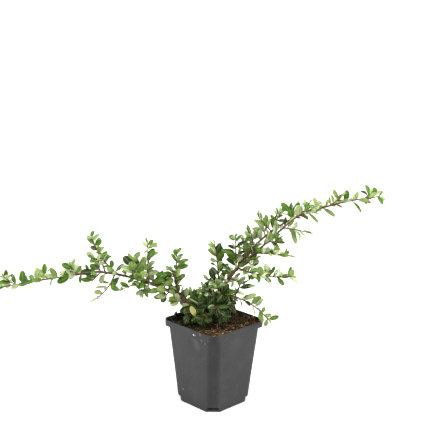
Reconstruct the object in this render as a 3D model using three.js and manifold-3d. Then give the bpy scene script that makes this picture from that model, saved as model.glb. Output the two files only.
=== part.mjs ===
// A young bearberry cotoneaster in its square nursery pot, in millimetres, +Z up.
// The origin is the middle of the pot's flat underside. The two long shoots spread along X,
// and a corner of the pot faces -Y.
import * as THREE from "three";
import { mergeVertices } from "three/addons/utils/BufferGeometryUtils.js";
import Module from "manifold-3d";

const wasm = await Module();
wasm.setup();

// Pot
const POT_HEIGHT = 100;
const RIM_WIDTH = 90;
const RIM_HEIGHT = 8;
const SHOULDER_WIDTH = 84; // across the flats of the wall, just under the rim
const BASE_WIDTH = 67;
const CORNER_WIDTH = 13; // of the flat that cuts each corner
const CORNER_ROUNDING = 2.5;
const WALL = 1.4;
const NOTCH = { width: 15, height: 6, depth: 10 }; // the drain step under each corner
const DRAIN = { radius: 3, fromMiddle: 17, sides: 8 };
const PAST = 1; // how far a block runs past the face that it joins or cuts
const POT_TURN = 45;

// Soil
const GAP = 0.3; // between neighbouring solids
const SOIL = {
  level: 95, // along the wall
  crown: 1.7, // the rise from the wall to the trunk
  flat: 8, // radius of the level patch under the trunk
  slope: 45, // from the trunk to where the rise ends
  lump: 0.9,
  grid: 10, // patches a side
};

// Wood
const GROUND = SOIL.level + SOIL.crown + GAP; // the flat cut under the trunk
const TRUNK = {
  x: -8,
  y: 2,
  flare: 5.2, // radius at the ground
  waist: 3.1, // radius above the flare
  top: 2.7,
  heading: 207, // the way it leans
  rise: 76,
  length: 9.3,
  sides: 12,
  rings: 5,
};
const FINE_STEPS = 24; // of every course that wood follows
const LIMB_SIDES = 7;
const LIMB_STEP = 14; // along a limb from ring to ring
const TWIG_SIDES = 3;
const TWIG_STEP = 16;
const STEM_RADIUS = 0.7; // of a spray's stem at its foot, for the shortest
const STEM_SWELL = 0.004; // more of it for each millimetre of the stem's length
const TWIG_RADIUS = 0.65;
const TIP_RADIUS = 0.45;

// Leaf
const LEAF_THICKNESS = 0.045; // of its length, at the middle
const LEAF_POINTS = 7;
const LEAVES_ON_TWIG = 4;
const BARE_FOOT = 4; // of a spray's stem, before its first leaf
const TWIG_LEAF = 0.85; // of the length of a leaf on the stem
const SLIVER = 0.02; // edges shorter than this are closed up after joining

// A limb starts a share of the way "at" along the one it is "on". It heads that way round from +X,
// rises from level, and turns evenly by its bend and sway on the way to its tip.
const LIMBS = [
  { name: "left_limb", on: "trunk", at: 1, heading: 184, rise: 40, bend: -36, sway: -6, length: 137,
    thick: 4.4, thin: 2.4 },
  { name: "right_stem", on: "trunk", at: 1, heading: -2, rise: 63, bend: -11, sway: 4, length: 69,
    thick: 5, thin: 3.8 },
  { name: "right_limb_lower", on: "right_stem", at: 1, heading: -6, rise: 43, bend: 3, sway: -2, length: 88,
    thick: 2.8, thin: 2.2 },
  { name: "right_limb_upper", on: "right_stem", at: 0.97, heading: 8, rise: 59, bend: -31, sway: -4,
    length: 84, thick: 2.8, thin: 2 },
];

// A spray is one stem with its leaves and short twigs. It starts on its limb as a limb does.
// "leaves" are those on its stem, "leaf" is the length of one, and "seed" settles how they fall.
const SPRAYS = [
  // along the left limb
  { name: "left_root_spray", on: "left_limb", at: 0.18, heading: 150, rise: 42, bend: -20, length: 21,
    leaves: 7, leaf: 16, twigs: 0, seed: 10 },
  { name: "left_low_leaves", on: "left_limb", at: 0.22, heading: 215, rise: 4, bend: -10, length: 14,
    leaves: 5, leaf: 16, twigs: 0, seed: 30 },
  { name: "left_first_shoot", on: "left_limb", at: 0.3, heading: 110, rise: 86, bend: 4, length: 53,
    leaves: 13, leaf: 15, twigs: 1, seed: 107 },
  { name: "left_dark_pair", on: "left_limb", at: 0.37, heading: 205, rise: -42, bend: 0, length: 10,
    leaves: 5, leaf: 13, twigs: 0, seed: 86 },
  { name: "left_middle_leaves", on: "left_limb", at: 0.42, heading: 80, rise: 50, bend: 0, length: 12,
    leaves: 6, leaf: 16, twigs: 0, seed: 62 },
  { name: "left_under_shoot", on: "left_limb", at: 0.52, heading: 205, rise: 20, bend: -46, length: 42,
    leaves: 8, leaf: 13, twigs: 1, seed: 51 },
  { name: "left_broad_leaves", on: "left_limb", at: 0.54, heading: 20, rise: 49, bend: -10, length: 12,
    leaves: 6, leaf: 18, twigs: 0, seed: 55 },
  { name: "left_second_shoot", on: "left_limb", at: 0.57, heading: 95, rise: 86, bend: 4, length: 46,
    leaves: 11, leaf: 15, twigs: 1, seed: 243 },
  { name: "left_hanging_tuft", on: "left_limb", at: 0.59, heading: 240, rise: -70, bend: 0, length: 14,
    leaves: 7, leaf: 13, twigs: 0, seed: 67 },
  { name: "left_limb_tuft", on: "left_limb", at: 0.66, heading: 290, rise: 10, bend: 0, length: 10,
    leaves: 6, leaf: 14, twigs: 0, seed: 54 },
  { name: "left_third_shoot", on: "left_limb", at: 0.7, heading: 60, rise: 83, bend: 8, length: 21,
    leaves: 7, leaf: 17, twigs: 0, seed: 300 },
  { name: "left_leaning_shoot", on: "left_limb", at: 0.82, heading: 165, rise: 30, bend: 37, length: 49,
    leaves: 11, leaf: 14, twigs: 1, seed: 68 },
  { name: "left_bare_shoot", on: "left_limb", at: 0.86, heading: 196, rise: -72, bend: 46, length: 43,
    leaves: 6, leaf: 11, twigs: 0, seed: 299 },
  { name: "left_upright_shoot", on: "left_limb", at: 0.94, heading: 196, rise: 74, bend: -10, length: 51,
    leaves: 10, leaf: 14, twigs: 1, seed: 16 },
  { name: "left_falling_twig", on: "left_limb", at: 0.98, heading: 190, rise: -49, bend: 6, length: 14,
    leaves: 5, leaf: 12, twigs: 0, seed: 237 },
  { name: "left_spur", on: "left_limb", at: 0.98, heading: 140, rise: 62, bend: 0, length: 9,
    leaves: 7, leaf: 13, twigs: 0, seed: 9 },
  { name: "left_end_spray", on: "left_limb", at: 1, heading: 178, rise: -9, bend: -2, sway: 6, length: 122,
    leaves: 14, leaf: 19, twigs: 3, seed: 2824 },
  // round the crown
  { name: "crown_left_fan", on: "trunk", at: 0.9, heading: 150, rise: 70, bend: -50, length: 32,
    leaves: 15, leaf: 18, twigs: 1, seed: 13 },
  { name: "crown_left_low", on: "trunk", at: 0.5, heading: 190, rise: 28, bend: -30, length: 23,
    leaves: 14, leaf: 16, twigs: 1, seed: 61 },
  { name: "crown_front_left", on: "trunk", at: 0.7, heading: 215, rise: 46, bend: -60, length: 26,
    leaves: 17, leaf: 17, twigs: 1, seed: 34 },
  { name: "crown_front", on: "trunk", at: 0.8, heading: 262, rise: 44, bend: -70, length: 27,
    leaves: 17, leaf: 17, twigs: 1, seed: 160 },
  { name: "crown_front_high", on: "trunk", at: 0.95, heading: 275, rise: 62, bend: -40, length: 22,
    leaves: 15, leaf: 17, twigs: 0, seed: 14 },
  { name: "crown_front_far", on: "trunk", at: 0.6, heading: 245, rise: 32, bend: -30, length: 30,
    leaves: 15, leaf: 17, twigs: 1, seed: 56 },
  { name: "crown_front_right", on: "trunk", at: 0.75, heading: 310, rise: 43, bend: -60, length: 31,
    leaves: 18, leaf: 17, twigs: 1, seed: 21 },
  { name: "crown_middle", on: "right_stem", at: 0.13, heading: 250, rise: 38, bend: -50, length: 26,
    leaves: 16, leaf: 17, twigs: 0, seed: 7 },
  { name: "crown_right_front", on: "right_stem", at: 0.2, heading: 290, rise: 24, bend: -40, length: 24,
    leaves: 15, leaf: 17, twigs: 0, seed: 30 },
  { name: "crown_right_low", on: "right_stem", at: 0.08, heading: 332, rise: 35, bend: -40, length: 34,
    leaves: 17, leaf: 17, twigs: 1, seed: 51 },
  { name: "crown_right_inner", on: "right_stem", at: 0.36, heading: 305, rise: 36, bend: -20, length: 16,
    leaves: 11, leaf: 16, twigs: 0, seed: 97 },
  { name: "crown_back_left", on: "trunk", at: 0.8, heading: 140, rise: 25, bend: -30, length: 34,
    leaves: 15, leaf: 15, twigs: 1, seed: 25 },
  { name: "crown_back", on: "trunk", at: 0.7, heading: 80, rise: 20, bend: -30, length: 44,
    leaves: 16, leaf: 15, twigs: 1, seed: 62 },
  { name: "crown_back_right", on: "right_stem", at: 0.1, heading: 40, rise: 15, bend: -24, length: 40,
    leaves: 16, leaf: 15, twigs: 1, seed: 108 },
  { name: "crown_upper_leaves", on: "right_stem", at: 0.28, heading: 180, rise: 58, bend: -10, length: 20,
    leaves: 13, leaf: 17, twigs: 1, seed: 6 },
  { name: "crown_upright_shoot", on: "right_stem", at: 0.44, heading: 140, rise: 90, bend: -14, length: 58,
    leaves: 14, leaf: 15, twigs: 1, seed: 336 },
  // along the right stem
  { name: "right_drooping_shoot", on: "right_stem", at: 0.41, heading: -12, rise: 4, bend: -55, length: 68,
    leaves: 12, leaf: 16, twigs: 1, seed: 87 },
  { name: "right_stem_front", on: "right_stem", at: 0.5, heading: 250, rise: 30, bend: -10, length: 17,
    leaves: 12, leaf: 15, twigs: 0, seed: 12 },
  { name: "right_stem_leaves", on: "right_stem", at: 0.69, heading: 200, rise: 23, bend: 0, length: 10,
    leaves: 5, leaf: 13, twigs: 0, seed: 62 },
  { name: "right_side_twig", on: "right_stem", at: 0.75, heading: -24, rise: -8, bend: -14, length: 24,
    leaves: 7, leaf: 12, twigs: 0, seed: 24 },
  { name: "right_pale_leaves", on: "right_stem", at: 0.86, heading: 170, rise: 40, bend: 0, length: 11,
    leaves: 6, leaf: 15, twigs: 0, seed: 156 },
  { name: "right_inner_shoot", on: "right_stem", at: 0.95, heading: 150, rise: 86, bend: 4, length: 38,
    leaves: 11, leaf: 15, twigs: 0, seed: 41 },
  { name: "right_spreading_shoot", on: "right_stem", at: 0.98, heading: -28, rise: -14, bend: 30,
    length: 71, leaves: 14, leaf: 14, twigs: 2, seed: 68 },
  { name: "right_fork_leaves", on: "right_stem", at: 0.99, heading: 70, rise: 50, bend: 0, length: 16,
    leaves: 8, leaf: 15, twigs: 0, seed: 50 },
  // along the two right limbs
  { name: "right_under_leaves", on: "right_limb_lower", at: 0.15, heading: 290, rise: -10, bend: 0,
    length: 9, leaves: 5, leaf: 15, twigs: 0, seed: 249 },
  { name: "right_level_shoot", on: "right_limb_lower", at: 0.29, heading: -18, rise: 5, bend: -6,
    length: 38, leaves: 10, leaf: 14, twigs: 0, seed: 39 },
  { name: "right_small_leaves", on: "right_limb_lower", at: 0.52, heading: -30, rise: 11, bend: 0,
    length: 14, leaves: 5, leaf: 13, twigs: 0, seed: 41 },
  { name: "right_outer_shoot", on: "right_limb_lower", at: 0.8, heading: -20, rise: 2, bend: -12,
    length: 29, leaves: 8, leaf: 16, twigs: 0, seed: 35 },
  { name: "right_joint_leaves", on: "right_limb_lower", at: 0.97, heading: 110, rise: 62, bend: 0,
    length: 9, leaves: 6, leaf: 17, twigs: 0, seed: 285 },
  { name: "right_inner_tuft", on: "right_limb_upper", at: 0.2, heading: 100, rise: 62, bend: 0, length: 18,
    leaves: 8, leaf: 15, twigs: 0, seed: 11 },
  { name: "right_narrow_tuft", on: "right_limb_upper", at: 0.38, heading: 140, rise: 75, bend: 0,
    length: 15, leaves: 10, leaf: 15, twigs: 0, seed: 178 },
  { name: "right_long_leaves", on: "right_limb_upper", at: 0.6, heading: 120, rise: 50, bend: 0, length: 10,
    leaves: 5, leaf: 18, twigs: 0, seed: 158 },
  { name: "right_high_leaves", on: "right_limb_upper", at: 0.7, heading: 172, rise: 52, bend: -10,
    length: 21, leaves: 7, leaf: 17, twigs: 0, seed: 27 },
  { name: "right_dark_twig", on: "right_limb_upper", at: 0.74, heading: 50, rise: 67, bend: -22, length: 22,
    leaves: 8, leaf: 14, twigs: 0, seed: 16 },
  { name: "right_upper_spray", on: "right_limb_upper", at: 1, heading: 4, rise: 20, bend: 18, length: 30,
    leaves: 11, leaf: 16, twigs: 1, seed: 258 },
  { name: "right_end_spray", on: "right_limb_lower", at: 1, heading: -8, rise: 26, bend: -20, sway: 8,
    length: 103, leaves: 16, leaf: 15, twigs: 3, seed: 58 },
];

const radians = THREE.MathUtils.degToRad;
const UP = new THREE.Vector3(0, 0, 1);

// Solids

function solidFrom(geometry) {
  const bare = geometry.clone();
  bare.deleteAttribute("normal");
  bare.deleteAttribute("uv");
  const merged = mergeVertices(bare, 1e-4);
  const vertProperties = new Float32Array(merged.attributes.position.array);
  const triVerts = new Uint32Array(merged.index.array);
  return new wasm.Manifold(new wasm.Mesh({ numProp: 3, vertProperties, triVerts }));
}

function geometryFrom(solid) {
  const { vertProperties, triVerts } = solid.getMesh();
  const geometry = new THREE.BufferGeometry();
  geometry.setAttribute("position", new THREE.BufferAttribute(new Float32Array(vertProperties), 3));
  geometry.setIndex(new THREE.BufferAttribute(new Uint32Array(triVerts), 1));
  geometry.computeVertexNormals();
  return geometry;
}

// Moves every vertex of a geometry to where the rule puts it.
function reshape(geometry, rule) {
  const positions = geometry.attributes.position;
  const point = new THREE.Vector3();
  for (let i = 0; i < positions.count; i += 1) {
    rule(point.fromBufferAttribute(positions, i));
    positions.setXYZ(i, point.x, point.y, point.z);
  }
  return geometry;
}

function largestBody(solid) {
  const bodies = solid.decompose();
  return bodies.reduce((best, body) => (body.volume() > best.volume() ? body : best));
}

// Pot and soil

// A square of this width whose corners are cut by flats with rounded edges.
function potOutline(width) {
  const half = width / 2;
  const cut = CORNER_WIDTH / Math.SQRT2;
  const soft = CORNER_ROUNDING;
  const slant = soft / Math.SQRT2;
  const shape = new THREE.Shape();
  for (let corner = 0; corner < 4; corner += 1) {
    const turn = (x, y) => [[x, y], [-y, x], [-x, -y], [y, -x]][corner];
    const [startX, startY] = turn(half, half - cut - soft);
    if (corner === 0) shape.moveTo(startX, startY);
    else shape.lineTo(startX, startY);
    shape.quadraticCurveTo(...turn(half, half - cut), ...turn(half - slant, half - cut + slant));
    shape.lineTo(...turn(half - cut + slant, half - slant));
    shape.quadraticCurveTo(...turn(half - cut, half), ...turn(half - cut - soft, half));
  }
  shape.closePath();
  return shape;
}

// The outline carried from one height to another, its sides leaning in to the lower width.
function potBlock(lowerWidth, upperWidth, bottom, top) {
  const depth = top - bottom;
  const settings = { depth, steps: 1, bevelEnabled: false, curveSegments: 2 };
  const block = new THREE.ExtrudeGeometry(potOutline(upperWidth), settings);
  reshape(block, (point) => {
    const inward = ((upperWidth - lowerWidth) / 2) * (1 - point.z / depth);
    point.x -= Math.sign(point.x) * inward;
    point.y -= Math.sign(point.y) * inward;
    point.z += bottom;
  });
  return solidFrom(block);
}

const SHOULDER = POT_HEIGHT - RIM_HEIGHT;
const wallWidth = (height) => BASE_WIDTH + ((SHOULDER_WIDTH - BASE_WIDTH) * height) / SHOULDER;

// One block under each corner flat, grown by a margin on every side but the outer one.
function cornerBlocks(margin) {
  const outerFace = (BASE_WIDTH * Math.SQRT2 - CORNER_WIDTH) / 2;
  const depth = NOTCH.depth + margin;
  const length = 2 * depth;
  const height = NOTCH.height + margin + PAST;
  return roundTheMiddle(45, () => {
    const block = new THREE.BoxGeometry(length, NOTCH.width + 2 * margin, height);
    block.translate(outerFace, 0, height / 2 - PAST);
    return block;
  });
}

function drainHoles() {
  return roundTheMiddle(0, () => {
    const hole = new THREE.CylinderGeometry(DRAIN.radius, DRAIN.radius, 2 * (WALL + PAST), DRAIN.sides);
    hole.rotateX(radians(90));
    hole.translate(DRAIN.fromMiddle, 0, 0);
    return hole;
  });
}

// Four of the same, a quarter turn apart, joined.
function roundTheMiddle(firstTurn, make) {
  const turns = [0, 90, 180, 270].map((turn) => radians(firstTurn + turn));
  return turns.map((turn) => solidFrom(make().rotateZ(turn))).reduce((all, solid) => all.add(solid));
}

function potCavity(clearance) {
  const inset = 2 * (WALL + clearance);
  const floor = WALL + clearance;
  const ledge = SHOULDER + WALL + clearance;
  const neck = ledge + PAST;
  const lower = potBlock(wallWidth(floor) - inset, wallWidth(neck) - inset, floor, neck);
  const upper = potBlock(RIM_WIDTH - inset, RIM_WIDTH - inset, ledge, POT_HEIGHT + PAST);
  return lower.add(upper).subtract(cornerBlocks(floor));
}

function makePot() {
  const wall = potBlock(BASE_WIDTH, SHOULDER_WIDTH, 0, SHOULDER);
  const rim = potBlock(RIM_WIDTH, RIM_WIDTH, SHOULDER, POT_HEIGHT);
  return wall.add(rim).subtract(potCavity(0)).subtract(cornerBlocks(0)).subtract(drainHoles());
}

// Height of the soil's surface: flat where the trunk stands, lumpy further out.
function soilHeight(x, y) {
  const away = Math.hypot(x - TRUNK.x, y - TRUNK.y);
  const { flat, slope, lump } = SOIL;
  const crown = away < flat ? SOIL.crown : SOIL.crown * Math.max(0, 1 - away / slope);
  const waves = Math.sin(0.33 * x + 1) * Math.cos(0.29 * y) + 0.7 * Math.sin(0.61 * y - 0.23 * x);
  return SOIL.level + crown + lump * waves * THREE.MathUtils.smoothstep(away, flat, 2 * flat);
}

function makeSoil() {
  const block = new THREE.BoxGeometry(RIM_WIDTH, RIM_WIDTH, POT_HEIGHT, SOIL.grid, SOIL.grid, 1);
  block.rotateZ(radians(POT_TURN));
  reshape(block, (point) => {
    point.z = point.z > 0 ? soilHeight(point.x, point.y) : 0;
  });
  const heap = solidFrom(block);
  return heap.intersect(potCavity(GAP).rotate([0, 0, POT_TURN]));
}

// Wood

function direction(heading, rise) {
  const across = Math.cos(radians(rise));
  return new THREE.Vector3(
    across * Math.cos(radians(heading)),
    across * Math.sin(radians(heading)),
    Math.sin(radians(rise)),
  );
}

// The line that a stem follows: it starts at a point and turns evenly along its length.
function course(start, { heading, rise, bend = 0, sway = 0, length }) {
  const points = [start.clone()];
  for (let i = 0; i < FINE_STEPS; i += 1) {
    const share = (i + 0.5) / FINE_STEPS;
    const step = direction(heading + sway * share, rise + bend * share);
    points.push(points[i].clone().addScaledVector(step, length / FINE_STEPS));
  }
  return {
    length,
    pointAt(share) {
      const place = THREE.MathUtils.clamp(share, 0, 1) * FINE_STEPS;
      const before = Math.min(Math.floor(place), FINE_STEPS - 1);
      return points[before].clone().lerp(points[before + 1], place - before);
    },
    // Along the stem, level across it, and square to both.
    axesAt(share) {
      const along = direction(heading + sway * share, rise + bend * share);
      const level = direction(heading + sway * share + 90, 0);
      return { along, level, square: along.clone().cross(level).negate() };
    },
  };
}

// A round closed tube along a course; radiusAt gives its radius at each share of the way.
function tube(line, radiusAt, sides, rings) {
  const rod = new THREE.CylinderGeometry(1, 1, 1, sides, rings);
  reshape(rod, (point) => {
    const share = point.y + 0.5;
    const radius = radiusAt(share);
    const { level, square } = line.axesAt(share);
    const middle = line.pointAt(share);
    const [across, over] = [point.x * radius, point.z * radius];
    point.copy(middle).addScaledVector(level, across).addScaledVector(square, over);
  });
  return solidFrom(rod);
}

// Leaves

// Even draws from a seed, one after another.
function dice(seed) {
  let state = seed;
  const roll = (low, high) => {
    state = (state * 1664525 + 1013904223) % 4294967296;
    return low + ((high - low) * state) / 4294967296;
  };
  roll(0, 1);
  roll(0, 1);
  return roll;
}

// Half the width of a leaf of unit width, at a share of the way from its base to its tip.
const leafEdge = (share) => 1.07 * share ** 0.75 * Math.max(0, 1 - share) ** 0.42;

// Where each leaf sits on a stem, and how it is turned. Leaves stand in two ranks, lean up
// towards the light, and get a little smaller towards the stem's tip. The one at the tip is first.
function leafPlaces(line, count, size, bare, roll) {
  const places = [];
  const turn = roll(-60, 60);
  for (let i = 0; i < count; i += 1) {
    const last = i === count - 1;
    const between = roll(0.1, 0.7);
    const share = last ? 1 : bare + ((1 - bare) * (i + between)) / count;
    const { along, level, square } = line.axesAt(share);
    const round = radians(turn + 180 * (i % 2) + roll(-50, 50));
    const splay = radians(last ? roll(0, 25) : roll(35, 75));
    const ahead = along.clone().multiplyScalar(Math.cos(splay));
    ahead.addScaledVector(level, Math.sin(splay) * Math.cos(round));
    ahead.addScaledVector(square, Math.sin(splay) * Math.sin(round));
    ahead.addScaledVector(UP, roll(0, 0.45)).normalize();
    const facing = new THREE.Vector3(roll(-0.7, 0.7), roll(-1.2, 0.4), roll(0, 0.9));
    facing.addScaledVector(along, 0.4);
    facing.addScaledVector(ahead, -facing.dot(ahead)).normalize();
    const length = size * roll(0.78, 1.12) * (1 - 0.15 * share);
    const width = length * roll(0.5, 0.62);
    const fold = roll(0.05, 0.3);
    const droop = roll(0, 0.22);
    places.push({ base: line.pointAt(share), ahead, facing, length, width, fold, droop });
  }
  return [places.pop(), ...places];
}

// The stem of a spray, its twigs, and the leaves on each.
function growth(spray, start) {
  const roll = dice(spray.seed);
  const stem = course(start, spray);
  const bare = Math.min(0.3, BARE_FOOT / spray.length);
  const branches = [{ line: stem, places: leafPlaces(stem, spray.leaves, spray.leaf, bare, roll) }];
  for (let i = 0; i < spray.twigs; i += 1) {
    const share = (i + roll(0.3, 0.8)) / (spray.twigs + 0.3);
    const heading = spray.heading + (i % 2 ? -1 : 1) * roll(25, 70);
    const rise = roll(5, 60);
    const line = course(stem.pointAt(share), { heading, rise, length: roll(10, 20) });
    branches.push({ line, places: leafPlaces(line, LEAVES_ON_TWIG, spray.leaf * TWIG_LEAF, 0.25, roll) });
  }
  return branches;
}

// A thin blade, narrow at its base and round at its tip, folded along its midrib, its tip drooping.
function leafSolid({ base, ahead, facing, length, width, fold, droop }, margin) {
  const side = facing.clone().cross(ahead);
  const blade = new THREE.SphereGeometry(1, LEAF_POINTS, 2);
  reshape(blade, (point) => {
    const pole = Math.abs(point.y) > 0.5 ? Math.sign(point.y) : 0;
    const angle = Math.atan2(point.z, -point.x);
    const share = pole ? 0.5 : (1 - Math.cos(angle)) / 2;
    const across = pole ? 0 : -Math.sign(Math.sin(angle)) * leafEdge(share) * (width + 2 * margin);
    const over = pole * ((LEAF_THICKNESS * length) / 2 + margin) + fold * Math.abs(across);
    point.copy(base).addScaledVector(ahead, share * (length + margin));
    point.addScaledVector(side, across).addScaledVector(facing, over - droop * length * share ** 2);
  });
  return solidFrom(blade);
}

// Assembly

const plant = new THREE.Group();
const solids = new Map();
const lines = new Map();
const grownLimbs = new Map();
const BARK = new THREE.MeshStandardMaterial({ color: 0x6e4a40, roughness: 0.8, metalness: 0 });
const LEAFAGE = new THREE.MeshStandardMaterial({ color: 0x4f7a35, roughness: 0.45, metalness: 0 });
const PLASTIC = new THREE.MeshStandardMaterial({ color: 0x4a4a4c, roughness: 0.5, metalness: 0 });
const PEAT = new THREE.MeshStandardMaterial({ color: 0x3a2618, roughness: 0.95, metalness: 0 });

// Names a solid and adds it, without the crumbs that a cut may leave.
function place(name, solid, material) {
  const mesh = new THREE.Mesh(geometryFrom(largestBody(solid.asOriginal().simplify(SLIVER))), material);
  mesh.name = name;
  plant.add(mesh);
  solids.set(name, solid);
}

// The trunk flares at its foot, leans a little, and ends in level cuts at the ground and the fork.
function addTrunk() {
  const { x, y, flare, waist, top, heading, rise, length, sides, rings } = TRUNK;
  const line = course(new THREE.Vector3(x, y, GROUND), { heading, rise, length });
  const radiusAt = (share) => top + (waist - top) * (1 - share) + (flare - waist) * (1 - share) ** 4;
  const grown = (margin) => {
    const rod = new THREE.CylinderGeometry(1, 1, 1, sides, rings);
    reshape(rod, (point) => {
      const share = point.y + 0.5;
      const radius = radiusAt(share) + margin;
      const middle = line.pointAt(share);
      const height = middle.z + (share > 0.5 ? margin : -margin);
      point.set(middle.x + point.x * radius, middle.y - point.z * radius, height);
    });
    return solidFrom(rod);
  };
  place("trunk", grown(0), BARK);
  lines.set("trunk", line);
  grownLimbs.set("trunk", grown(GAP));
}

function addLimb(limb) {
  const line = course(lines.get(limb.on).pointAt(limb.at), limb);
  const radiusAt = (margin) => (share) => (limb.thick + (limb.thin - limb.thick) * share) / 2 + margin;
  const rings = Math.round(limb.length / LIMB_STEP);
  let wood = tube(line, radiusAt(0), LIMB_SIDES, rings);
  for (const grown of grownLimbs.values()) wood = wood.subtract(grown);
  place(limb.name, wood, BARK);
  lines.set(limb.name, line);
  grownLimbs.set(limb.name, tube(line, radiusAt(GAP), LIMB_SIDES, rings));
}

const boxed = (solid) => ({ solid, box: solid.boundingBox() });

function meets(piece, others) {
  const apart = (a, b) => [0, 1, 2].some((i) => a.max[i] < b.min[i] || b.max[i] < a.min[i]);
  return others.some(({ solid, box }) => {
    if (apart(piece.box, box)) return false;
    return piece.solid.intersect(solid).volume() > 0;
  });
}

// A stem or twig of a spray, and the same one grown by a margin.
function stick(line, thick, thin, margin) {
  const rings = Math.max(2, Math.round(line.length / TWIG_STEP));
  return tube(line, (share) => thick + (thin - thick) * share + margin, TWIG_SIDES, rings);
}

// Every stem and twig is set first, so that no leaf grows through one of another spray. A twig or a
// leaf that would touch a limb, the pot, the soil or another spray is left out, and so is a leaf
// that would cross an earlier one.
function addSprays() {
  const limbs = [...grownLimbs.values(), solids.get("pot"), solids.get("soil")].map(boxed);
  const wood = new Map();
  const growths = new Map();
  const woodOfOthers = (name) => [...wood].flatMap(([other, sticks]) => (other === name ? [] : sticks));
  for (const spray of SPRAYS) {
    const branches = growth(spray, lines.get(spray.on).pointAt(spray.at));
    const kept = [];
    const sticks = [];
    for (const [i, branch] of branches.entries()) {
      const thick = i ? TWIG_RADIUS : STEM_RADIUS + STEM_SWELL * spray.length;
      const grown = boxed(stick(branch.line, thick, TIP_RADIUS, GAP));
      if (i && meets(grown, [...limbs, ...woodOfOthers(spray.name)])) continue;
      kept.push(branch);
      sticks.push(boxed(stick(branch.line, thick, TIP_RADIUS, 0)));
    }
    wood.set(spray.name, sticks);
    growths.set(spray.name, kept);
  }
  const blades = [];
  for (const spray of SPRAYS) {
    const others = [...limbs, ...woodOfOthers(spray.name), ...blades];
    const own = [];
    for (const leaf of growths.get(spray.name).flatMap((branch) => branch.places)) {
      const blade = boxed(leafSolid(leaf, 0));
      if (!meets(boxed(leafSolid(leaf, GAP)), others) && !meets(blade, own)) own.push(blade);
    }
    blades.push(...own);
    const pieces = [...wood.get(spray.name), ...own].map(({ solid }) => solid);
    const mass = pieces.reduce((all, piece) => all.add(piece));
    const cut = limbs.reduce((all, { solid }) => all.subtract(solid), mass);
    place(spray.name, cut, LEAFAGE);
  }
}

place("pot", makePot().rotate([0, 0, POT_TURN]), PLASTIC);
place("soil", makeSoil(), PEAT);
addTrunk();
for (const limb of LIMBS) addLimb(limb);
addSprays();

export default plant;
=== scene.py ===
import math

import bmesh
import bpy
from bpy.props import FloatProperty, FloatVectorProperty, IntProperty, PointerProperty
from mathutils import Matrix, Vector
from mathutils.bvhtree import BVHTree
from mathutils.kdtree import KDTree


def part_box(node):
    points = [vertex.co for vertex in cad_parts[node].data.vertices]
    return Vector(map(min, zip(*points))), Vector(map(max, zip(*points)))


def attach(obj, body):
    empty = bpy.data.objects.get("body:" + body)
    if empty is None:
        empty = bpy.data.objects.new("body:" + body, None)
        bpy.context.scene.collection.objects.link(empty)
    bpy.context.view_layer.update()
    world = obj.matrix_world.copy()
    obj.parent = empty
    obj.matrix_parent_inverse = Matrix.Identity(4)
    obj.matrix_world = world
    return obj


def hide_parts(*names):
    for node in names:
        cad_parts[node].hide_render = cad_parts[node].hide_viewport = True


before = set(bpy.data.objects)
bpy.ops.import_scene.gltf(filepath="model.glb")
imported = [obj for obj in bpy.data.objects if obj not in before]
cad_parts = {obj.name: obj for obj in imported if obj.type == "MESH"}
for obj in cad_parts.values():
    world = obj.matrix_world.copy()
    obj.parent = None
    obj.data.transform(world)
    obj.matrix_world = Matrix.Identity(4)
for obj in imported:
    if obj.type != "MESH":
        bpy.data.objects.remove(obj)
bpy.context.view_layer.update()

bl_info = {
    "name": "Potted bearberry cotoneaster",
    "version": (1, 0, 0),
    "blender": (4, 5, 0),
    "location": "3D View > Sidebar > Shrub",
    "description": "Grows a young cotoneaster in its nursery pot round the packed model",
    "category": "Object",
}

BODY = "root"
MM = 0.001

# The plant's rule is in millimetres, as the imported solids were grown.
UP = Vector((0, 0, 1))
FINE_STEPS = 24
GROUND = 97
TRUNK = {"x": -8, "y": 2, "flare": 5.2, "waist": 3.1, "top": 2.7, "heading": 207, "rise": 76, "length": 9.3}
STEM_RADIUS = 0.7
STEM_SWELL = 0.004
TWIG_RADIUS = 0.65
TIP_RADIUS = 0.45
LEAF_THICKNESS = 0.045
LEAVES_ON_TWIG = 4
BARE_FOOT = 4
TWIG_LEAF = 0.85

COURSE_FIELDS = ("heading", "rise", "bend", "sway", "length")
LIMB_FIELDS = ("name", "on", "at", *COURSE_FIELDS, "thick", "thin")
LIMBS = (
    ("left_limb", "trunk", 1, 184, 40, -36, -6, 137, 4.4, 2.4),
    ("right_stem", "trunk", 1, -2, 63, -11, 4, 69, 5, 3.8),
    ("right_limb_lower", "right_stem", 1, -6, 43, 3, -2, 88, 2.8, 2.2),
    ("right_limb_upper", "right_stem", 0.97, 8, 59, -31, -4, 84, 2.8, 2),
)

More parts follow.
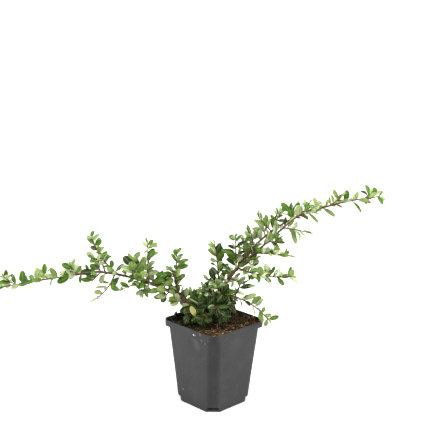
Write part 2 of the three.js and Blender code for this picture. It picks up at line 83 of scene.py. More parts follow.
# The sprays on the trunk and the limbs, in the order in which they grow.
SPRAY_FIELDS = ("name", "at", *COURSE_FIELDS, "leaves", "leaf", "twigs", "seed")
SPRAYS = (
    ("left_limb", (
        ("left_root_spray", 0.18, 150, 42, -20, 0, 21, 7, 16, 0, 10),
        ("left_low_leaves", 0.22, 215, 4, -10, 0, 14, 5, 16, 0, 30),
        ("left_first_shoot", 0.3, 110, 86, 4, 0, 53, 13, 15, 1, 107),
        ("left_dark_pair", 0.37, 205, -42, 0, 0, 10, 5, 13, 0, 86),
        ("left_middle_leaves", 0.42, 80, 50, 0, 0, 12, 6, 16, 0, 62),
        ("left_under_shoot", 0.52, 205, 20, -46, 0, 42, 8, 13, 1, 51),
        ("left_broad_leaves", 0.54, 20, 49, -10, 0, 12, 6, 18, 0, 55),
        ("left_second_shoot", 0.57, 95, 86, 4, 0, 46, 11, 15, 1, 243),
        ("left_hanging_tuft", 0.59, 240, -70, 0, 0, 14, 7, 13, 0, 67),
        ("left_limb_tuft", 0.66, 290, 10, 0, 0, 10, 6, 14, 0, 54),
        ("left_third_shoot", 0.7, 60, 83, 8, 0, 21, 7, 17, 0, 300),
        ("left_leaning_shoot", 0.82, 165, 30, 37, 0, 49, 11, 14, 1, 68),
        ("left_bare_shoot", 0.86, 196, -72, 46, 0, 43, 6, 11, 0, 299),
        ("left_upright_shoot", 0.94, 196, 74, -10, 0, 51, 10, 14, 1, 16),
        ("left_falling_twig", 0.98, 190, -49, 6, 0, 14, 5, 12, 0, 237),
        ("left_spur", 0.98, 140, 62, 0, 0, 9, 7, 13, 0, 9),
        ("left_end_spray", 1, 178, -9, -2, 6, 122, 14, 19, 3, 2824),
    )),
    ("trunk", (
        ("crown_left_fan", 0.9, 150, 70, -50, 0, 32, 15, 18, 1, 13),
        ("crown_left_low", 0.5, 190, 28, -30, 0, 23, 14, 16, 1, 61),
        ("crown_front_left", 0.7, 215, 46, -60, 0, 26, 17, 17, 1, 34),
        ("crown_front", 0.8, 262, 44, -70, 0, 27, 17, 17, 1, 160),
        ("crown_front_high", 0.95, 275, 62, -40, 0, 22, 15, 17, 0, 14),
        ("crown_front_far", 0.6, 245, 32, -30, 0, 30, 15, 17, 1, 56),
        ("crown_front_right", 0.75, 310, 43, -60, 0, 31, 18, 17, 1, 21),
    )),
    ("right_stem", (
        ("crown_middle", 0.13, 250, 38, -50, 0, 26, 16, 17, 0, 7),
        ("crown_right_front", 0.2, 290, 24, -40, 0, 24, 15, 17, 0, 30),
        ("crown_right_low", 0.08, 332, 35, -40, 0, 34, 17, 17, 1, 51),
        ("crown_right_inner", 0.36, 305, 36, -20, 0, 16, 11, 16, 0, 97),
    )),
    ("trunk", (
        ("crown_back_left", 0.8, 140, 25, -30, 0, 34, 15, 15, 1, 25),
        ("crown_back", 0.7, 80, 20, -30, 0, 44, 16, 15, 1, 62),
    )),
    ("right_stem", (
        ("crown_back_right", 0.1, 40, 15, -24, 0, 40, 16, 15, 1, 108),
        ("crown_upper_leaves", 0.28, 180, 58, -10, 0, 20, 13, 17, 1, 6),
        ("crown_upright_shoot", 0.44, 140, 90, -14, 0, 58, 14, 15, 1, 336),
        ("right_drooping_shoot", 0.41, -12, 4, -55, 0, 68, 12, 16, 1, 87),
        ("right_stem_front", 0.5, 250, 30, -10, 0, 17, 12, 15, 0, 12),
        ("right_stem_leaves", 0.69, 200, 23, 0, 0, 10, 5, 13, 0, 62),
        ("right_side_twig", 0.75, -24, -8, -14, 0, 24, 7, 12, 0, 24),
        ("right_pale_leaves", 0.86, 170, 40, 0, 0, 11, 6, 15, 0, 156),
        ("right_inner_shoot", 0.95, 150, 86, 4, 0, 38, 11, 15, 0, 41),
        ("right_spreading_shoot", 0.98, -28, -14, 30, 0, 71, 14, 14, 2, 68),
        ("right_fork_leaves", 0.99, 70, 50, 0, 0, 16, 8, 15, 0, 50),
    )),
    ("right_limb_lower", (
        ("right_under_leaves", 0.15, 290, -10, 0, 0, 9, 5, 15, 0, 249),
        ("right_level_shoot", 0.29, -18, 5, -6, 0, 38, 10, 14, 0, 39),
        ("right_small_leaves", 0.52, -30, 11, 0, 0, 14, 5, 13, 0, 41),
        ("right_outer_shoot", 0.8, -20, 2, -12, 0, 29, 8, 16, 0, 35),
        ("right_joint_leaves", 0.97, 110, 62, 0, 0, 9, 6, 17, 0, 285),
    )),
    ("right_limb_upper", (
        ("right_inner_tuft", 0.2, 100, 62, 0, 0, 18, 8, 15, 0, 11),
        ("right_narrow_tuft", 0.38, 140, 75, 0, 0, 15, 10, 15, 0, 178),
        ("right_long_leaves", 0.6, 120, 50, 0, 0, 10, 5, 18, 0, 158),
        ("right_high_leaves", 0.7, 172, 52, -10, 0, 21, 7, 17, 0, 27),
        ("right_dark_twig", 0.74, 50, 67, -22, 0, 22, 8, 14, 0, 16),
        ("right_upper_spray", 1, 4, 20, 18, 0, 30, 11, 16, 1, 258),
    )),
    ("right_limb_lower", (
        ("right_end_spray", 1, -8, 26, -20, 8, 103, 16, 15, 3, 58),
    )),
)

# Sprays by how they stand to the light, by their habit and by the shape of their leaves. Each kind is told by
# how its names start, and the other sprays are between, close and slender.
LIGHTS = {
    "shaded": ("crown_front", "crown_middle", "crown_right", "crown_back", "crown_left_low"),
    "sunlit": ("right_end", "right_upper", "right_outer", "right_small", "right_joint", "right_dark",
               "right_level", "right_spreading", "right_narrow", "right_high"),
    "green": ("left",),
}
HABITS = {
    "open": ("left", "crown_upright", "right_end", "right_upper_spray", "right_outer", "right_drooping",
             "right_inner_shoot", "right_level", "right_spreading", "right_side"),
    "crown": ("crown",),
}
SHAPES = {"crowded": ("crown",), "broad": ("left",)}

# For each light, what share of the leaves has each of the first four tones, and what share is turned over. The
# light is painted into the colours: every leaf of the shaded sprays has the deep tone, which is painted shade,
# and the sunlit sprays have fewer deep leaves, which paints them lighter.
TONES = ("deep", "full", "fresh", "young", "golden")
TONE_SHARES = {
    "shaded": ((1, 0, 0, 0), 0.03),
    "between": ((0.16, 0.34, 0.28, 0.22), 0.2),
    "green": ((0.12, 0.44, 0.26, 0.18), 0.13),
    "sunlit": ((0.10, 0.42, 0.26, 0.22), 0.25),
}

# For each habit, how many times further apart young leaves stand, and their sizes as shares of the setting.
YOUNG_LEAVES = {"open": (2.6, (0.8, 1.25)), "close": (1, (0.75, 1.25)), "crown": (0.55, (0.8, 1.25))}

# For each shape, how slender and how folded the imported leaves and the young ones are, how far the young ones
# stand off their stem, in degrees, and where they turn their faces.
LEAF_SHAPES = {
    "broad": {"kept": ((0.9, 1.1), (0.05, 0.3)), "young": ((0.8, 1.1), (0.1, 0.35)),
              "splay": (30, 80), "face": Vector((0, -0.45, 0.35))},
    "slender": {"kept": ((0.62, 0.92), (0.2, 0.65)), "young": ((0.58, 0.92), (0.15, 0.55)),
                "splay": (28, 78), "face": Vector((0, -0.35, 0.4))},
    "crowded": {"kept": ((0.68, 0.98), (0.15, 0.55)), "young": ((0.62, 1.0), (0.15, 0.5)),
                "splay": (30, 80), "face": Vector((0, -0.45, 0.35))},
}

# Leaves that stand by themselves against the light, for each stem or bough: how far along it, the angle in the
# picture, in degrees, the length and the seen width, in millimetres, and the tone.
LONE_LEAVES = (
    ("left_end_spray", (
        (0.73, 91, 15.5, 8.3, "full"), (0.6, 84, 16.5, 9, "young"), (0.41, 160, 14, 4.5, "young"),
        (0.344, 50, 18, 8, "full"), (0.22, 62, 13, 4.5, "full"), (0.15, 38, 11, 3, "young"),
        (0.09, 103, 12, 3.5, "full"), (0.08, 54, 12, 3.5, "fresh"), (0.1, 27, 10, 5.5, "fresh"),
        (0.27, 200, 18, 9, "full"), (0.64, 198, 21, 7, "full"), (0.86, 122, 14, 7, "golden"),
        (0.8, 108, 14, 6, "full"), (0.93, 125, 15, 4, "young"),
    )),
    ("left_falling_twig", ((1, 172, 13, 6, "full"), (0.5, 176, 9, 3, "full"))),
    ("left_bare_shoot", (
        (0.4, 176, 15, 2.8, "young"), (0.62, 170, 10.5, 6, "golden"), (0.82, 212, 12, 3.4, "young"),
    )),
    ("left_under_shoot", ((1, 155, 12, 7, "full"), (0.72, 148, 12.5, 5, "full"))),
    ("left_upright_shoot", (
        (0.93, 60, 8, 5, "full"), (0.8, 100, 11, 4.5, "young"), (0.7, 42, 9, 5, "full"),
        (0.5, 78, 10, 7, "fresh"),
    )),
    ("left_leaning_shoot", ((0.12, 48, 14, 5, "full"), (0.6, 10, 12, 4, "full"))),
    ("left_third_shoot", ((0.3, 97, 15, 11, "fresh"), (1, 125, 11, 4, "fresh"), (1, 50, 11, 4.5, "fresh"))),
    ("left_limb", ((0.68, 62, 17, 9, "full"), (0.66, 140, 12, 7, "full"), (0.47, 27, 17, 8, "fresh"))),
    ("left_second_shoot", (
        (0.62, 55, 13.5, 7.5, "full"), (0.97, 48, 9, 5, "full"), (0.95, 8, 12, 3.5, "fresh"),
        (1, 105, 8, 3, "full"), (0.35, 58, 9, 5, "fresh"),
    )),
    ("left_broad_leaves", ((0.1, 25, 16.5, 7, "full"), (0.8, 30, 15, 6, "full"))),
    ("left_dark_pair", ((1, 180, 12, 6, "deep"), (0.5, 240, 13, 7, "deep"))),
    ("left_low_leaves", ((0.5, 213, 14, 7, "young"),)),
    ("left_first_shoot", (
        (0.9, 108, 8.5, 5.5, "full"), (0.86, 28, 9, 4, "fresh"), (0.73, 23, 15, 4.5, "full"),
        (0.6, 25, 15, 6, "full"), (0.75, 117, 12, 3.5, "full"), (0.48, 142, 16, 4.5, "fresh"),
        (0.35, 34, 12, 6.5, "fresh"), (0.22, 2, 7, 2.2, "full"),
    )),
    ("crown_upright_shoot", (
        (0.84, 66, 13, 7, "deep"), (0.67, 47, 12.5, 8, "full"), (0.9, 122, 12.5, 3, "fresh"),
        (0.74, 127, 14, 3.5, "fresh"), (0.5, 74, 11, 4.5, "fresh"), (0.38, 134, 12.5, 5, "young"),
        (0.2, 172, 14, 5, "full"),
    )),
    ("crown_upper_leaves", ((0.45, 162, 17, 5, "full"), (0.85, 80, 9, 5.5, "deep"))),
    ("crown_left_fan", ((0.9, 170, 16.5, 5, "full"),)),
    ("crown_front_high", ((0.8, 200, 13, 6.5, "deep"),)),
    ("crown_right_inner", ((0.9, 20, 16, 6, "full"),)),
    ("crown_front_far", ((0.98, 114, 14, 6.5, "golden"),)),
    ("crown_left_low", ((0.75, 295, 12, 5, "deep"),)),
    ("crown_right_front", ((0.6, 285, 13, 7, "deep"),)),
    ("crown_right_low", ((0.4, 290, 15, 8, "deep"),)),
    ("crown_front", ((0.8, 275, 14, 8, "deep"),)),
    ("left_limb", ((0.29, 97, 11, 8, "full"),)),
    ("right_inner_shoot", (
        (0.92, 150, 10, 7, "full"), (0.48, 157, 18, 6.5, "full"), (0.25, 136, 14, 4.5, "full"),
        (0.08, 139, 15, 4, "fresh"),
    )),
    ("right_stem", ((0.85, 165, 11.5, 5, "full"),)),
    ("right_level_shoot", (
        (0.62, 70, 11.5, 7.5, "fresh"), (0.45, 25, 8.5, 4.5, "full"), (0.98, -3, 12, 2.5, "fresh"),
        (0.95, 46, 7, 4, "full"),
    )),
    ("right_limb_lower", ((0.3, 55, 9.5, 8, "full"),)),
    ("right_spreading_shoot", (
        (0.33, 232, 11, 7, "full"), (0.42, 258, 9.5, 4, "full"), (0.56, 76, 8.5, 7, "full"),
        (0.43, 100, 11, 9, "fresh"), (0.77, 93, 14, 2.8, "young"), (0.94, 63, 9.5, 6.5, "fresh"),
        (0.95, 2, 8, 3, "fresh"), (0.92, -28, 13, 3, "young"), (0.7, 6, 13, 3, "young"),
        (0.52, -62, 10, 3, "young"),
    )),
    ("right_side_twig", ((1, 8, 9.5, 3, "young"),)),
    ("right_drooping_shoot", (
        (0.45, 28, 17, 7, "young"), (0.6, 38, 15, 8.5, "fresh"), (0.1, 14, 15, 6.5, "full"),
        (0.85, 70, 8, 5, "fresh"), (1, 20, 13.5, 6.2, "full"), (0.98, 258, 10, 5.5, "fresh"),
    )),
    ("right_end_spray", (
        (0.595, 88, 13.6, 7.7, "full"), (0.7, 78, 10.5, 6, "young"), (0.86, 58, 12.5, 6, "full"),
        (0.76, -16, 13.4, 4.5, "full"), (0.93, -14, 12, 4.5, "fresh"), (0.95, 55, 8.5, 2.4, "fresh"),
        (0.42, 95, 10.5, 3, "fresh"), (0.43, 15, 9, 4, "full"), (0.29, 115, 14, 6, "young"),
        (0.14, 90, 14, 3.5, "full"), (0.33, -27, 18, 5.5, "fresh"), (0.16, -36, 17, 4.5, "fresh"),
        (0.03, 84, 15, 9, "young"), (0.2, 37, 7.5, 5, "young"),
    )),
    ("right_joint_leaves", ((0.2, 108, 12, 9, "full"),)),
    ("right_limb_upper", ((0.73, 92, 16.5, 6.5, "full"),)),
    ("right_high_leaves", ((0.3, 152, 19, 6, "fresh"),)),
    ("right_outer_shoot", (
        (0.3, -62, 19, 6.5, "fresh"), (0.85, -14, 14, 3, "fresh"), (0.32, 30, 9, 4, "young"),
    )),
    ("right_dark_twig", ((0.8, 104, 11, 3, "full"), (1, 49, 10, 6, "full"), (0.5, 8, 10, 4, "full"))),
    ("right_narrow_tuft", (
        (1, 111, 13, 3, "fresh"), (0.9, 56, 11, 3.5, "fresh"), (0.8, 135, 12, 3, "young"),
    )),
)

# How far a lone leaf may lean to the front or the back to clear the others, its least width as a share of its
# length, and where its foot stands on a bough, as a share of the bough's width.
LEANS = (-0.1, 0.15, -0.3, 0.4, -0.5, 0.6, -0.8, 0.9)
LEAST_WIDTH = 0.42
BOUGH_FOOT = 0.42
TO_CAMERA = Vector((0, -1, 0.26))

# Sprays whose young leaves hang over the soil, and the shoot that carries young leaves at its tip only.
HANGING = ("crown_front", "crown_right_front", "crown_right_low", "crown_left_low")
BARE_SHOOT = "left_bare_shoot"

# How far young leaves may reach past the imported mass, how often a place is tried for one, and how far leaves
# keep from stems, boughs and their own stem, in millimetres.
REACH = 2.5
TRIES = 20
STEM_ROOM = 0.7
BOUGH_ROOM = 0.2
FOOT_ROOM = 1.3

# Where along a stem young leaves start and how much of it they take up. A tip is bare where no leaf stands
# past BARE_TIP. It gets leaves at TIP_PLACES, and is cut just past its last leaf where that is before CUT_TIP.
YOUNG_PLACES = (0.12, 0.86)
BARE_TIP = 0.95
TIP_PLACES = (1, 0.97)
TIP_SPLAY = (5, 35)
TIP_SIZES = (0.5, 0.9)
CUT_TIP = 0.97
PAST_LAST_LEAF = 0.8

# The young leaves on the boughs, in the same terms, the millimetres between them, and how far out they stand,
# as a share of the bough's radius.
BOUGH_PLACES = (0.1, 0.9)
BOUGH_SPLAY = (35, 75)
BOUGH_SIZES = (0.8, 1.45)
BOUGH_SPACING = 7
BOUGH_STAND = 0.85

# Seeds, or what is added to a spray's own seed.
KEPT_SEED = 3
YOUNG_SEED = 7
TONE_SEED = 31
LONE_SEED = 555
BOUGH_SEED = 900

# A leaf's pattern, in shares of its length and half width.
BLADE_ROWS = (0.05, 0.12, 0.24, 0.4, 0.58, 0.76, 0.9, 0.97)
BLADE_COLUMNS = (-1, -0.5, 0, 0.5, 1)
PETIOLE = 0.08
PETIOLE_HALF = 0.045


def figure(name, description, default, **more):
    return FloatProperty(name=name, description=description, default=default, **more)


def length(name, description, default):
    return figure(name, description, default, unit="LENGTH", precision=5)


def amount(name, description, default):
    return IntProperty(name=name, description=description, default=default)


def colour(name, description, default):
    return FloatVectorProperty(
        name=name, description=description, default=default, subtype="COLOR", size=3, min=0, max=1
    )


class PotSettings(bpy.types.PropertyGroup):
    height: length("Height", "From the table to the top of the rim", 0.100)
    rim_width: length("Rim width", "Across the flats of the rim", 0.0874)
    rim_height: length("Rim height", "Of the band that stands proud of the wall", 0.0074)
    rim_corner: length("Rim corner", "Width of the flat that cuts each corner of the rim", 0.009)
    shoulder_width: length("Shoulder width", "Across the flats just under the rim", 0.0834)
    base_width: length("Base width", "Across the flats at the table", 0.067)
    corner_width: length("Corner width", "Of the flat that cuts each corner of the wall", 0.013)
    corner_rounding: length("Corner rounding", "Of the edges of that flat", 0.0036)
    wall: length("Wall", "Thickness of the plastic", 0.0014)
    lip_rounding: length("Lip rounding", "Of the edges of the rim", 0.0005)
    plastic: colour("Plastic", "Colour of the moulded plastic", (0.0262, 0.0262, 0.0272))


class SoilSettings(bpy.types.PropertyGroup):
    gap: length("Gap", "Between the soil and the pot's wall", 0.0003)
    relief: length("Relief", "Height of the small lumps", 0.0011)
    heap: length("Heap", "How high the soil stands against the wall", 0.0052)
    crumbs: amount("Crumbs", "How many crumbs lie on it for each square centimetre", 36)
    crumb: length("Crumb", "Size of the larger crumbs", 0.0034)
    seed: amount("Seed", "Settles where the crumbs fall", 4)
    peat: colour("Peat", "Colour of the moist peat", (0.0150, 0.0122, 0.0062))
    bark: colour("Bark", "Colour of the bark crumbs", (0.070, 0.041, 0.020))
    moss: colour("Moss", "Colour of the mossy crumbs", (0.115, 0.115, 0.078))
    straw: colour("Straw", "Colour of the palest crumbs", (0.30, 0.22, 0.14))


class WoodSettings(bpy.types.PropertyGroup):
    limb_sides: amount("Limb sides", "Faces round the trunk and boughs", 20)
    limb_step: length("Limb step", "Between the rings of the trunk and boughs", 0.0007)
    twig_sides: amount("Twig sides", "Faces round a twig", 7)
    twig_step: length("Twig step", "Between the rings of a twig", 0.0011)
    relief: figure("Relief", "Depth of the bark, as a share of the radius", 0.16)
    grain: figure("Grain", "Ridges of bark for each metre round a limb", 900)
    bark: colour("Bark", "Colour of the older bark", (0.113, 0.065, 0.039))
    young: colour("Young wood", "Colour of the twigs", (0.122, 0.057, 0.036))


class LeafSettings(bpy.types.PropertyGroup):
    thickness: length("Thickness", "Of a blade at its midrib", 0.0003)
    small_leaf: length("Small leaf", "Length of the young leaves between the others", 0.0150)
    spacing: length("Spacing", "Between the young leaves along a stem", 0.0042)
    # Deep is also painted shade: every leaf of the shaded sprays in the crown has it.
    deep: colour("Deep", "Colour of the oldest leaves", (0.021, 0.042, 0.006))
    full: colour("Full", "Colour of most leaves", (0.060, 0.138, 0.011))
    fresh: colour("Fresh", "Colour of this year's leaves", (0.163, 0.235, 0.057))
    young: colour("Young", "Colour of the youngest leaves", (0.298, 0.366, 0.160))
    golden: colour("Golden", "Colour of a leaf about to fall", (0.290, 0.285, 0.090))
    underside: colour("Underside", "Colour of a blade from below", (0.272, 0.335, 0.168))


class StudioSettings(bpy.types.PropertyGroup):
    floor: colour("Floor", "Colour of the floor", (0.82, 0.82, 0.82))
    softbox: figure("Softbox", "Power of the lights at both sides", 65, unit="POWER")
    sky: figure("Sky", "Strength of the light from all round", 0.5)
    backdrop: figure("Backdrop", "How bright it looks above the floor's far edge", 1.05)
    top: figure("Top", "Strength of the light from above", 2.4)


SETTINGS = {
    "shrub_pot": PotSettings,
    "shrub_soil": SoilSettings,
    "shrub_wood": WoodSettings,
    "shrub_leaf": LeafSettings,
    "shrub_studio": StudioSettings,
}


# Node trees


class Value:
    """An output of a node, to reckon with. The other outputs of its node are found by their names."""

    def __init__(self, graph, socket):
        self.graph, self.socket = graph, socket

    def __getitem__(self, name):
        return Value(self.graph, self.socket.node.outputs[name])

    def __add__(self, other):
        return self.graph.math("ADD", self, other)

    def __sub__(self, other):
        return self.graph.math("SUBTRACT", self, other)

    def __mul__(self, other):
        return self.graph.math("MULTIPLY", self, other)

    def __truediv__(self, other):
        return self.graph.math("DIVIDE", self, other)

    def __abs__(self):
        return self.graph.math("ABSOLUTE", self)


def is_vector(value):
    return isinstance(value, tuple) or isinstance(value, Value) and value.socket.type in ("VECTOR", "RGBA")


class Graph:
    """Writes a node tree as nested calls."""

    def __init__(self, tree):
        self.tree = tree

    def add(self, kind, *values, **named):
        """Adds a node. Its inputs go by order or by name, with an underscore for a space, and its settings by
        their names in small letters."""
        node = self.tree.nodes.new(kind)
        for name, value in named.items():
            if name[0].islower():
                setattr(node, name, value)
        inputs = {name.replace("_", " "): value for name, value in named.items() if name[0].isupper()}
        for key, value in (*enumerate(values), *inputs.items()):
            self.set(node.inputs[key], value)
        return Value(self, node.outputs[0])

    def set(self, socket, value):
        """Links a value to a socket, and sets the socket to anything else."""
        if isinstance(value, Value):
            self.tree.links.new(value.socket, socket)
        else:
            socket.default_value = value

    def math(self, operation, *values, **settings):
        """Reckons with vectors where the first value is one, and with numbers elsewhere."""
        if not is_vector(values[0]):
            return self.add("ShaderNodeMath", *values, operation=operation, **settings)
        if operation == "MULTIPLY" and not is_vector(values[1]):
            return self.add("ShaderNodeVectorMath", values[0], Scale=values[1], operation="SCALE")
        return self.add("ShaderNodeVectorMath", *values, operation=operation)

    def mix(self, factor, *colours):
        """Blends two colours, each a value or three numbers."""
        node = self.add("ShaderNodeMix", data_type="RGBA").socket.node
        ends = (end if isinstance(end, Value) else (*end, 1) for end in colours)
        for key, value in zip(("Factor_Float", "A_Color", "B_Color"), (factor, *ends)):
            self.set(next(s for s in node.inputs if s.identifier == key), value)
        return Value(self, next(s for s in node.outputs if s.identifier == "Result_Color"))

    def ramp(self, value, low, high):
        """0 where the value is at or below low, 1 where it is at or above high."""
        limits = {"From_Min": low, "From_Max": high}
        return self.add("ShaderNodeMapRange", Value=value, interpolation_type="SMOOTHSTEP", **limits)

    def noise(self, place, scale, detail=2.0, roughness=0.5):
        return self.add("ShaderNodeTexNoise", Vector=place, Scale=scale, Detail=detail, Roughness=roughness)

    def split(self, place):
        return self.add("ShaderNodeSeparateXYZ", place)

    def attribute(self, name, data_type="FLOAT"):
        return self.add("GeometryNodeInputNamedAttribute", Name=name, data_type=data_type)["Attribute"]

    def vector(self, name):
        return self.attribute(name, "FLOAT_VECTOR")

    def store(self, geometry, name, value):
        inputs = {"Geometry": geometry, "Name": name, "Value": value}
        data_type = "FLOAT_VECTOR" if is_vector(value) else "FLOAT"
        return self.add("GeometryNodeStoreNamedAttribute", data_type=data_type, domain="POINT", **inputs)


def new_tree(name, kind, inputs, outputs):
    """A tree's graph, what it is given, and the sockets for its result."""
    tree = bpy.data.node_groups.new(name, kind)
    for in_out, sockets in (("INPUT", inputs), ("OUTPUT", outputs)):
        for label, socket_type in sockets.items():
            tree.interface.new_socket(label, in_out=in_out, socket_type="NodeSocket" + socket_type)
    graph = Graph(tree)
    return graph, graph.add("NodeGroupInput"), tree.nodes.new("NodeGroupOutput").inputs


def geometry_tree(name, **inputs):
    geometry = {"Geometry": "Geometry"}
    return new_tree(name, "GeometryNodeTree", {**geometry, **inputs}, geometry)


def run_tree(obj, graph, **values):
    """Replaces an object's mesh by what a tree of nodes makes of it."""
    modifier = obj.modifiers.new("nodes", "NODES")
    modifier.node_group = graph.tree
    for item in graph.tree.interface.items_tree:
        if item.in_out == "INPUT" and item.name in values:
            modifier[item.identifier] = values[item.name]
    apply_modifiers(obj)


def apply_modifiers(obj):
    """Replaces an object's mesh by what its modifiers make of it, and takes them away."""
    depsgraph = bpy.context.evaluated_depsgraph_get()
    old = obj.data
    mesh = bpy.data.meshes.new_from_object(
        obj.evaluated_get(depsgraph), preserve_all_data_layers=True, depsgraph=depsgraph
    )
    obj.modifiers.clear()
    obj.data = mesh
    bpy.data.meshes.remove(old)


def new_object(name, data):
    obj = bpy.data.objects.new(name, data)
    bpy.context.scene.collection.objects.link(obj)
    return obj


def remove_object(obj):
    mesh = obj.data
    bpy.data.objects.remove(obj)
    bpy.data.meshes.remove(mesh)


def new_mesh(name, points, edges=(), faces=()):
    mesh = bpy.data.meshes.new(name)
    mesh.from_pydata(points, edges, faces)
    return mesh


def built_mesh(name, built):
    mesh = bpy.data.meshes.new(name)
    built.to_mesh(mesh)
    built.free()
    return mesh


def set_points(mesh, name, values, data_type="FLOAT"):
    """Gives each point of a mesh its value of a new attribute."""
    key = "vector" if data_type == "FLOAT_VECTOR" else "value"
    mesh.attributes.new(name, data_type, "POINT").data.foreach_set(key, values)


def finish_piece(obj, slot, *nodes):
    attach(obj, BODY)
    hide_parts(*nodes)


# The rule by which the plant grows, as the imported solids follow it


def direction(heading, rise):
    across = math.cos(math.radians(rise))
    turn = math.radians(heading)
    return Vector((across * math.cos(turn), across * math.sin(turn), math.sin(math.radians(rise))))


class Course:
    """The line that a stem follows: it starts at a point and turns evenly along its length."""

    def __init__(self, start, heading, rise, bend=0, sway=0, length=1):
        self.heading, self.rise, self.bend, self.sway, self.length = heading, rise, bend, sway, length
        self.points = [start.copy()]
        for i in range(FINE_STEPS):
            share = (i + 0.5) / FINE_STEPS
            step = direction(heading + sway * share, rise + bend * share)
            self.points.append(self.points[-1] + step * (length / FINE_STEPS))

    def at(self, share):
        place = min(max(share, 0), 1) * FINE_STEPS
        before = min(int(place), FINE_STEPS - 1)
        return self.points[before].lerp(self.points[before + 1], place - before)

    def axes(self, share):
        along = direction(self.heading + self.sway * share, self.rise + self.bend * share)
        level = direction(self.heading + self.sway * share + 90, 0)
        return along, level, -along.cross(level)


class Dice:
    """Even draws from a seed, one after another."""

    def __init__(self, seed):
        self.state = seed
        self.roll(0, 1)
        self.roll(0, 1)

    def roll(self, low, high):
        self.state = (self.state * 1664525 + 1013904223) % 4294967296
        return low + (high - low) * self.state / 4294967296


def square_to(axis, vector):
    """The direction of a vector with what lies along an axis taken away."""
    return (vector - axis * vector.dot(axis)).normalized()


class Leaf:
    """Where one leaf sits and how it is turned."""

    def __init__(self, line, share, turn, splay, lift, size, dice):
        along, level, square = line.axes(share)
        ahead = along * math.cos(splay)
        ahead += level * (math.sin(splay) * math.cos(turn))
        ahead += square * (math.sin(splay) * math.sin(turn))
        self.ahead = (ahead + UP * lift).normalized()
        facing = Vector((dice.roll(-0.7, 0.7), dice.roll(-1.2, 0.4), dice.roll(0, 0.9)))
        self.facing = square_to(self.ahead, facing + along * 0.4)
        self.length = size * dice.roll(0.78, 1.12) * (1 - 0.15 * share)
        self.width = self.length * dice.roll(0.5, 0.62)
        self.fold = dice.roll(0.05, 0.3)
        self.droop = dice.roll(0, 0.22)
        self.share = share
        self.base = line.at(share)
        self.tone = None
        self.turned_over = False

    def slim(self, ranges, dice):
        """Narrows a leaf and folds it more along its midrib."""
        widths, creases = ranges
        self.width *= dice.roll(*widths)
        self.fold += dice.roll(*creases)

    def stand(self, lean, angle, size, seen_width, tone):
        """Points a leaf at an angle in the picture, and turns it on its midrib till it looks this wide."""
        angle = math.radians(angle)
        self.ahead = Vector((math.cos(angle), lean, math.sin(angle))).normalized()
        self.tone = TONES.index(tone)
        self.length = size
        self.width = max(seen_width, LEAST_WIDTH * size)
        self.fold, self.droop = 0.15, 0.12
        front = square_to(self.ahead, TO_CAMERA)
        side = front.cross(self.ahead)
        turned = math.acos(seen_width / self.width)
        self.facing = front * math.cos(turned) + side * math.copysign(math.sin(turned), side.z)

    def point(self, share, across, over=0):
        side = self.facing.cross(self.ahead)
        lift = over + self.fold * abs(across) - self.droop * self.length * share ** 2
        return self.base + self.ahead * (share * self.length) + side * across + self.facing * lift


def leaf_edge(share):
    """Half the width of a leaf of unit width, at a share of the way from its base to its tip."""
    return 1.09 * share ** 0.68 * max(0, 1 - share) ** 0.55


def leaves_along(line, count, size, bare, dice):
    """Leaves stand in two ranks, lean up towards the light, and get a little smaller towards the tip."""
    leaves = []
    turn = dice.roll(-60, 60)
    for i in range(count):
        last = i == count - 1
        between = dice.roll(0.1, 0.7)
        share = 1 if last else bare + (1 - bare) * (i + between) / count
        round_stem = math.radians(turn + 180 * (i % 2) + dice.roll(-50, 50))
        splay = math.radians(dice.roll(0, 25) if last else dice.roll(35, 75))
        leaves.append(Leaf(line, share, round_stem, splay, dice.roll(0, 0.45), size, dice))
    return [leaves[-1], *leaves[:-1]]


def growth(spray, stem):
    """The stem of a spray and its twigs, each with the leaves that may stand on it."""
    dice = Dice(spray["seed"])
    bare = min(0.3, BARE_FOOT / spray["length"])
    branches = [(stem, leaves_along(stem, spray["leaves"], spray["leaf"], bare, dice))]
    for i in range(spray["twigs"]):
        share = (i + dice.roll(0.3, 0.8)) / (spray["twigs"] + 0.3)
        heading = spray["heading"] + (-1 if i % 2 else 1) * dice.roll(25, 70)
        rise = dice.roll(5, 60)
        twig = Course(stem.at(share), heading, rise, length=dice.roll(10, 20))
        branches.append((twig, leaves_along(twig, LEAVES_ON_TWIG, spray["leaf"] * TWIG_LEAF, 0.25, dice)))
    return branches


class PackedCorners:
    """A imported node's corner points, which tell whether a leaf or twig of the rule was kept in it."""

    NEAR = 0.1

    def __init__(self, node):
        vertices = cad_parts[node].data.vertices
        self.tree = KDTree(len(vertices))
        for i, vertex in enumerate(vertices):
            self.tree.insert(vertex.co / MM, i)
        self.tree.balance()

    def has(self, points):
        return any(self.tree.find(point)[2] < self.NEAR for point in points)

    def has_leaf(self, leaf):
        thick = LEAF_THICKNESS * leaf.length / 2
        return self.has([leaf.point(0.5, 0, thick), leaf.point(0.5, 0, -thick)])

    def has_twig(self, line):
        level, square = line.axes(0.5)[1:]
        radius = (TWIG_RADIUS + TIP_RADIUS) / 2
        turns = (0, math.tau / 3, 2 * math.tau / 3)
        middle = line.at(0.5)
        return self.has(
            middle + level * (math.sin(turn) * radius) + square * (math.cos(turn) * radius) for turn in turns
        )


def leaf_faces(leaf):
    """The leaf's outline as a fan, to test whether leaves meet."""
    shares = (0.04, 0.3, 0.6, 0.9)
    rim = [leaf.point(s, leaf_edge(s) * leaf.width) for s in shares]
    rim.append(leaf.point(1, 0))
    rim += [leaf.point(s, -leaf_edge(s) * leaf.width) for s in reversed(shares)]
    points = [leaf.point(0.5, 0), *rim]
    around = range(1, len(points))
    return points, [(0, a, a % len(rim) + 1) for a in around]


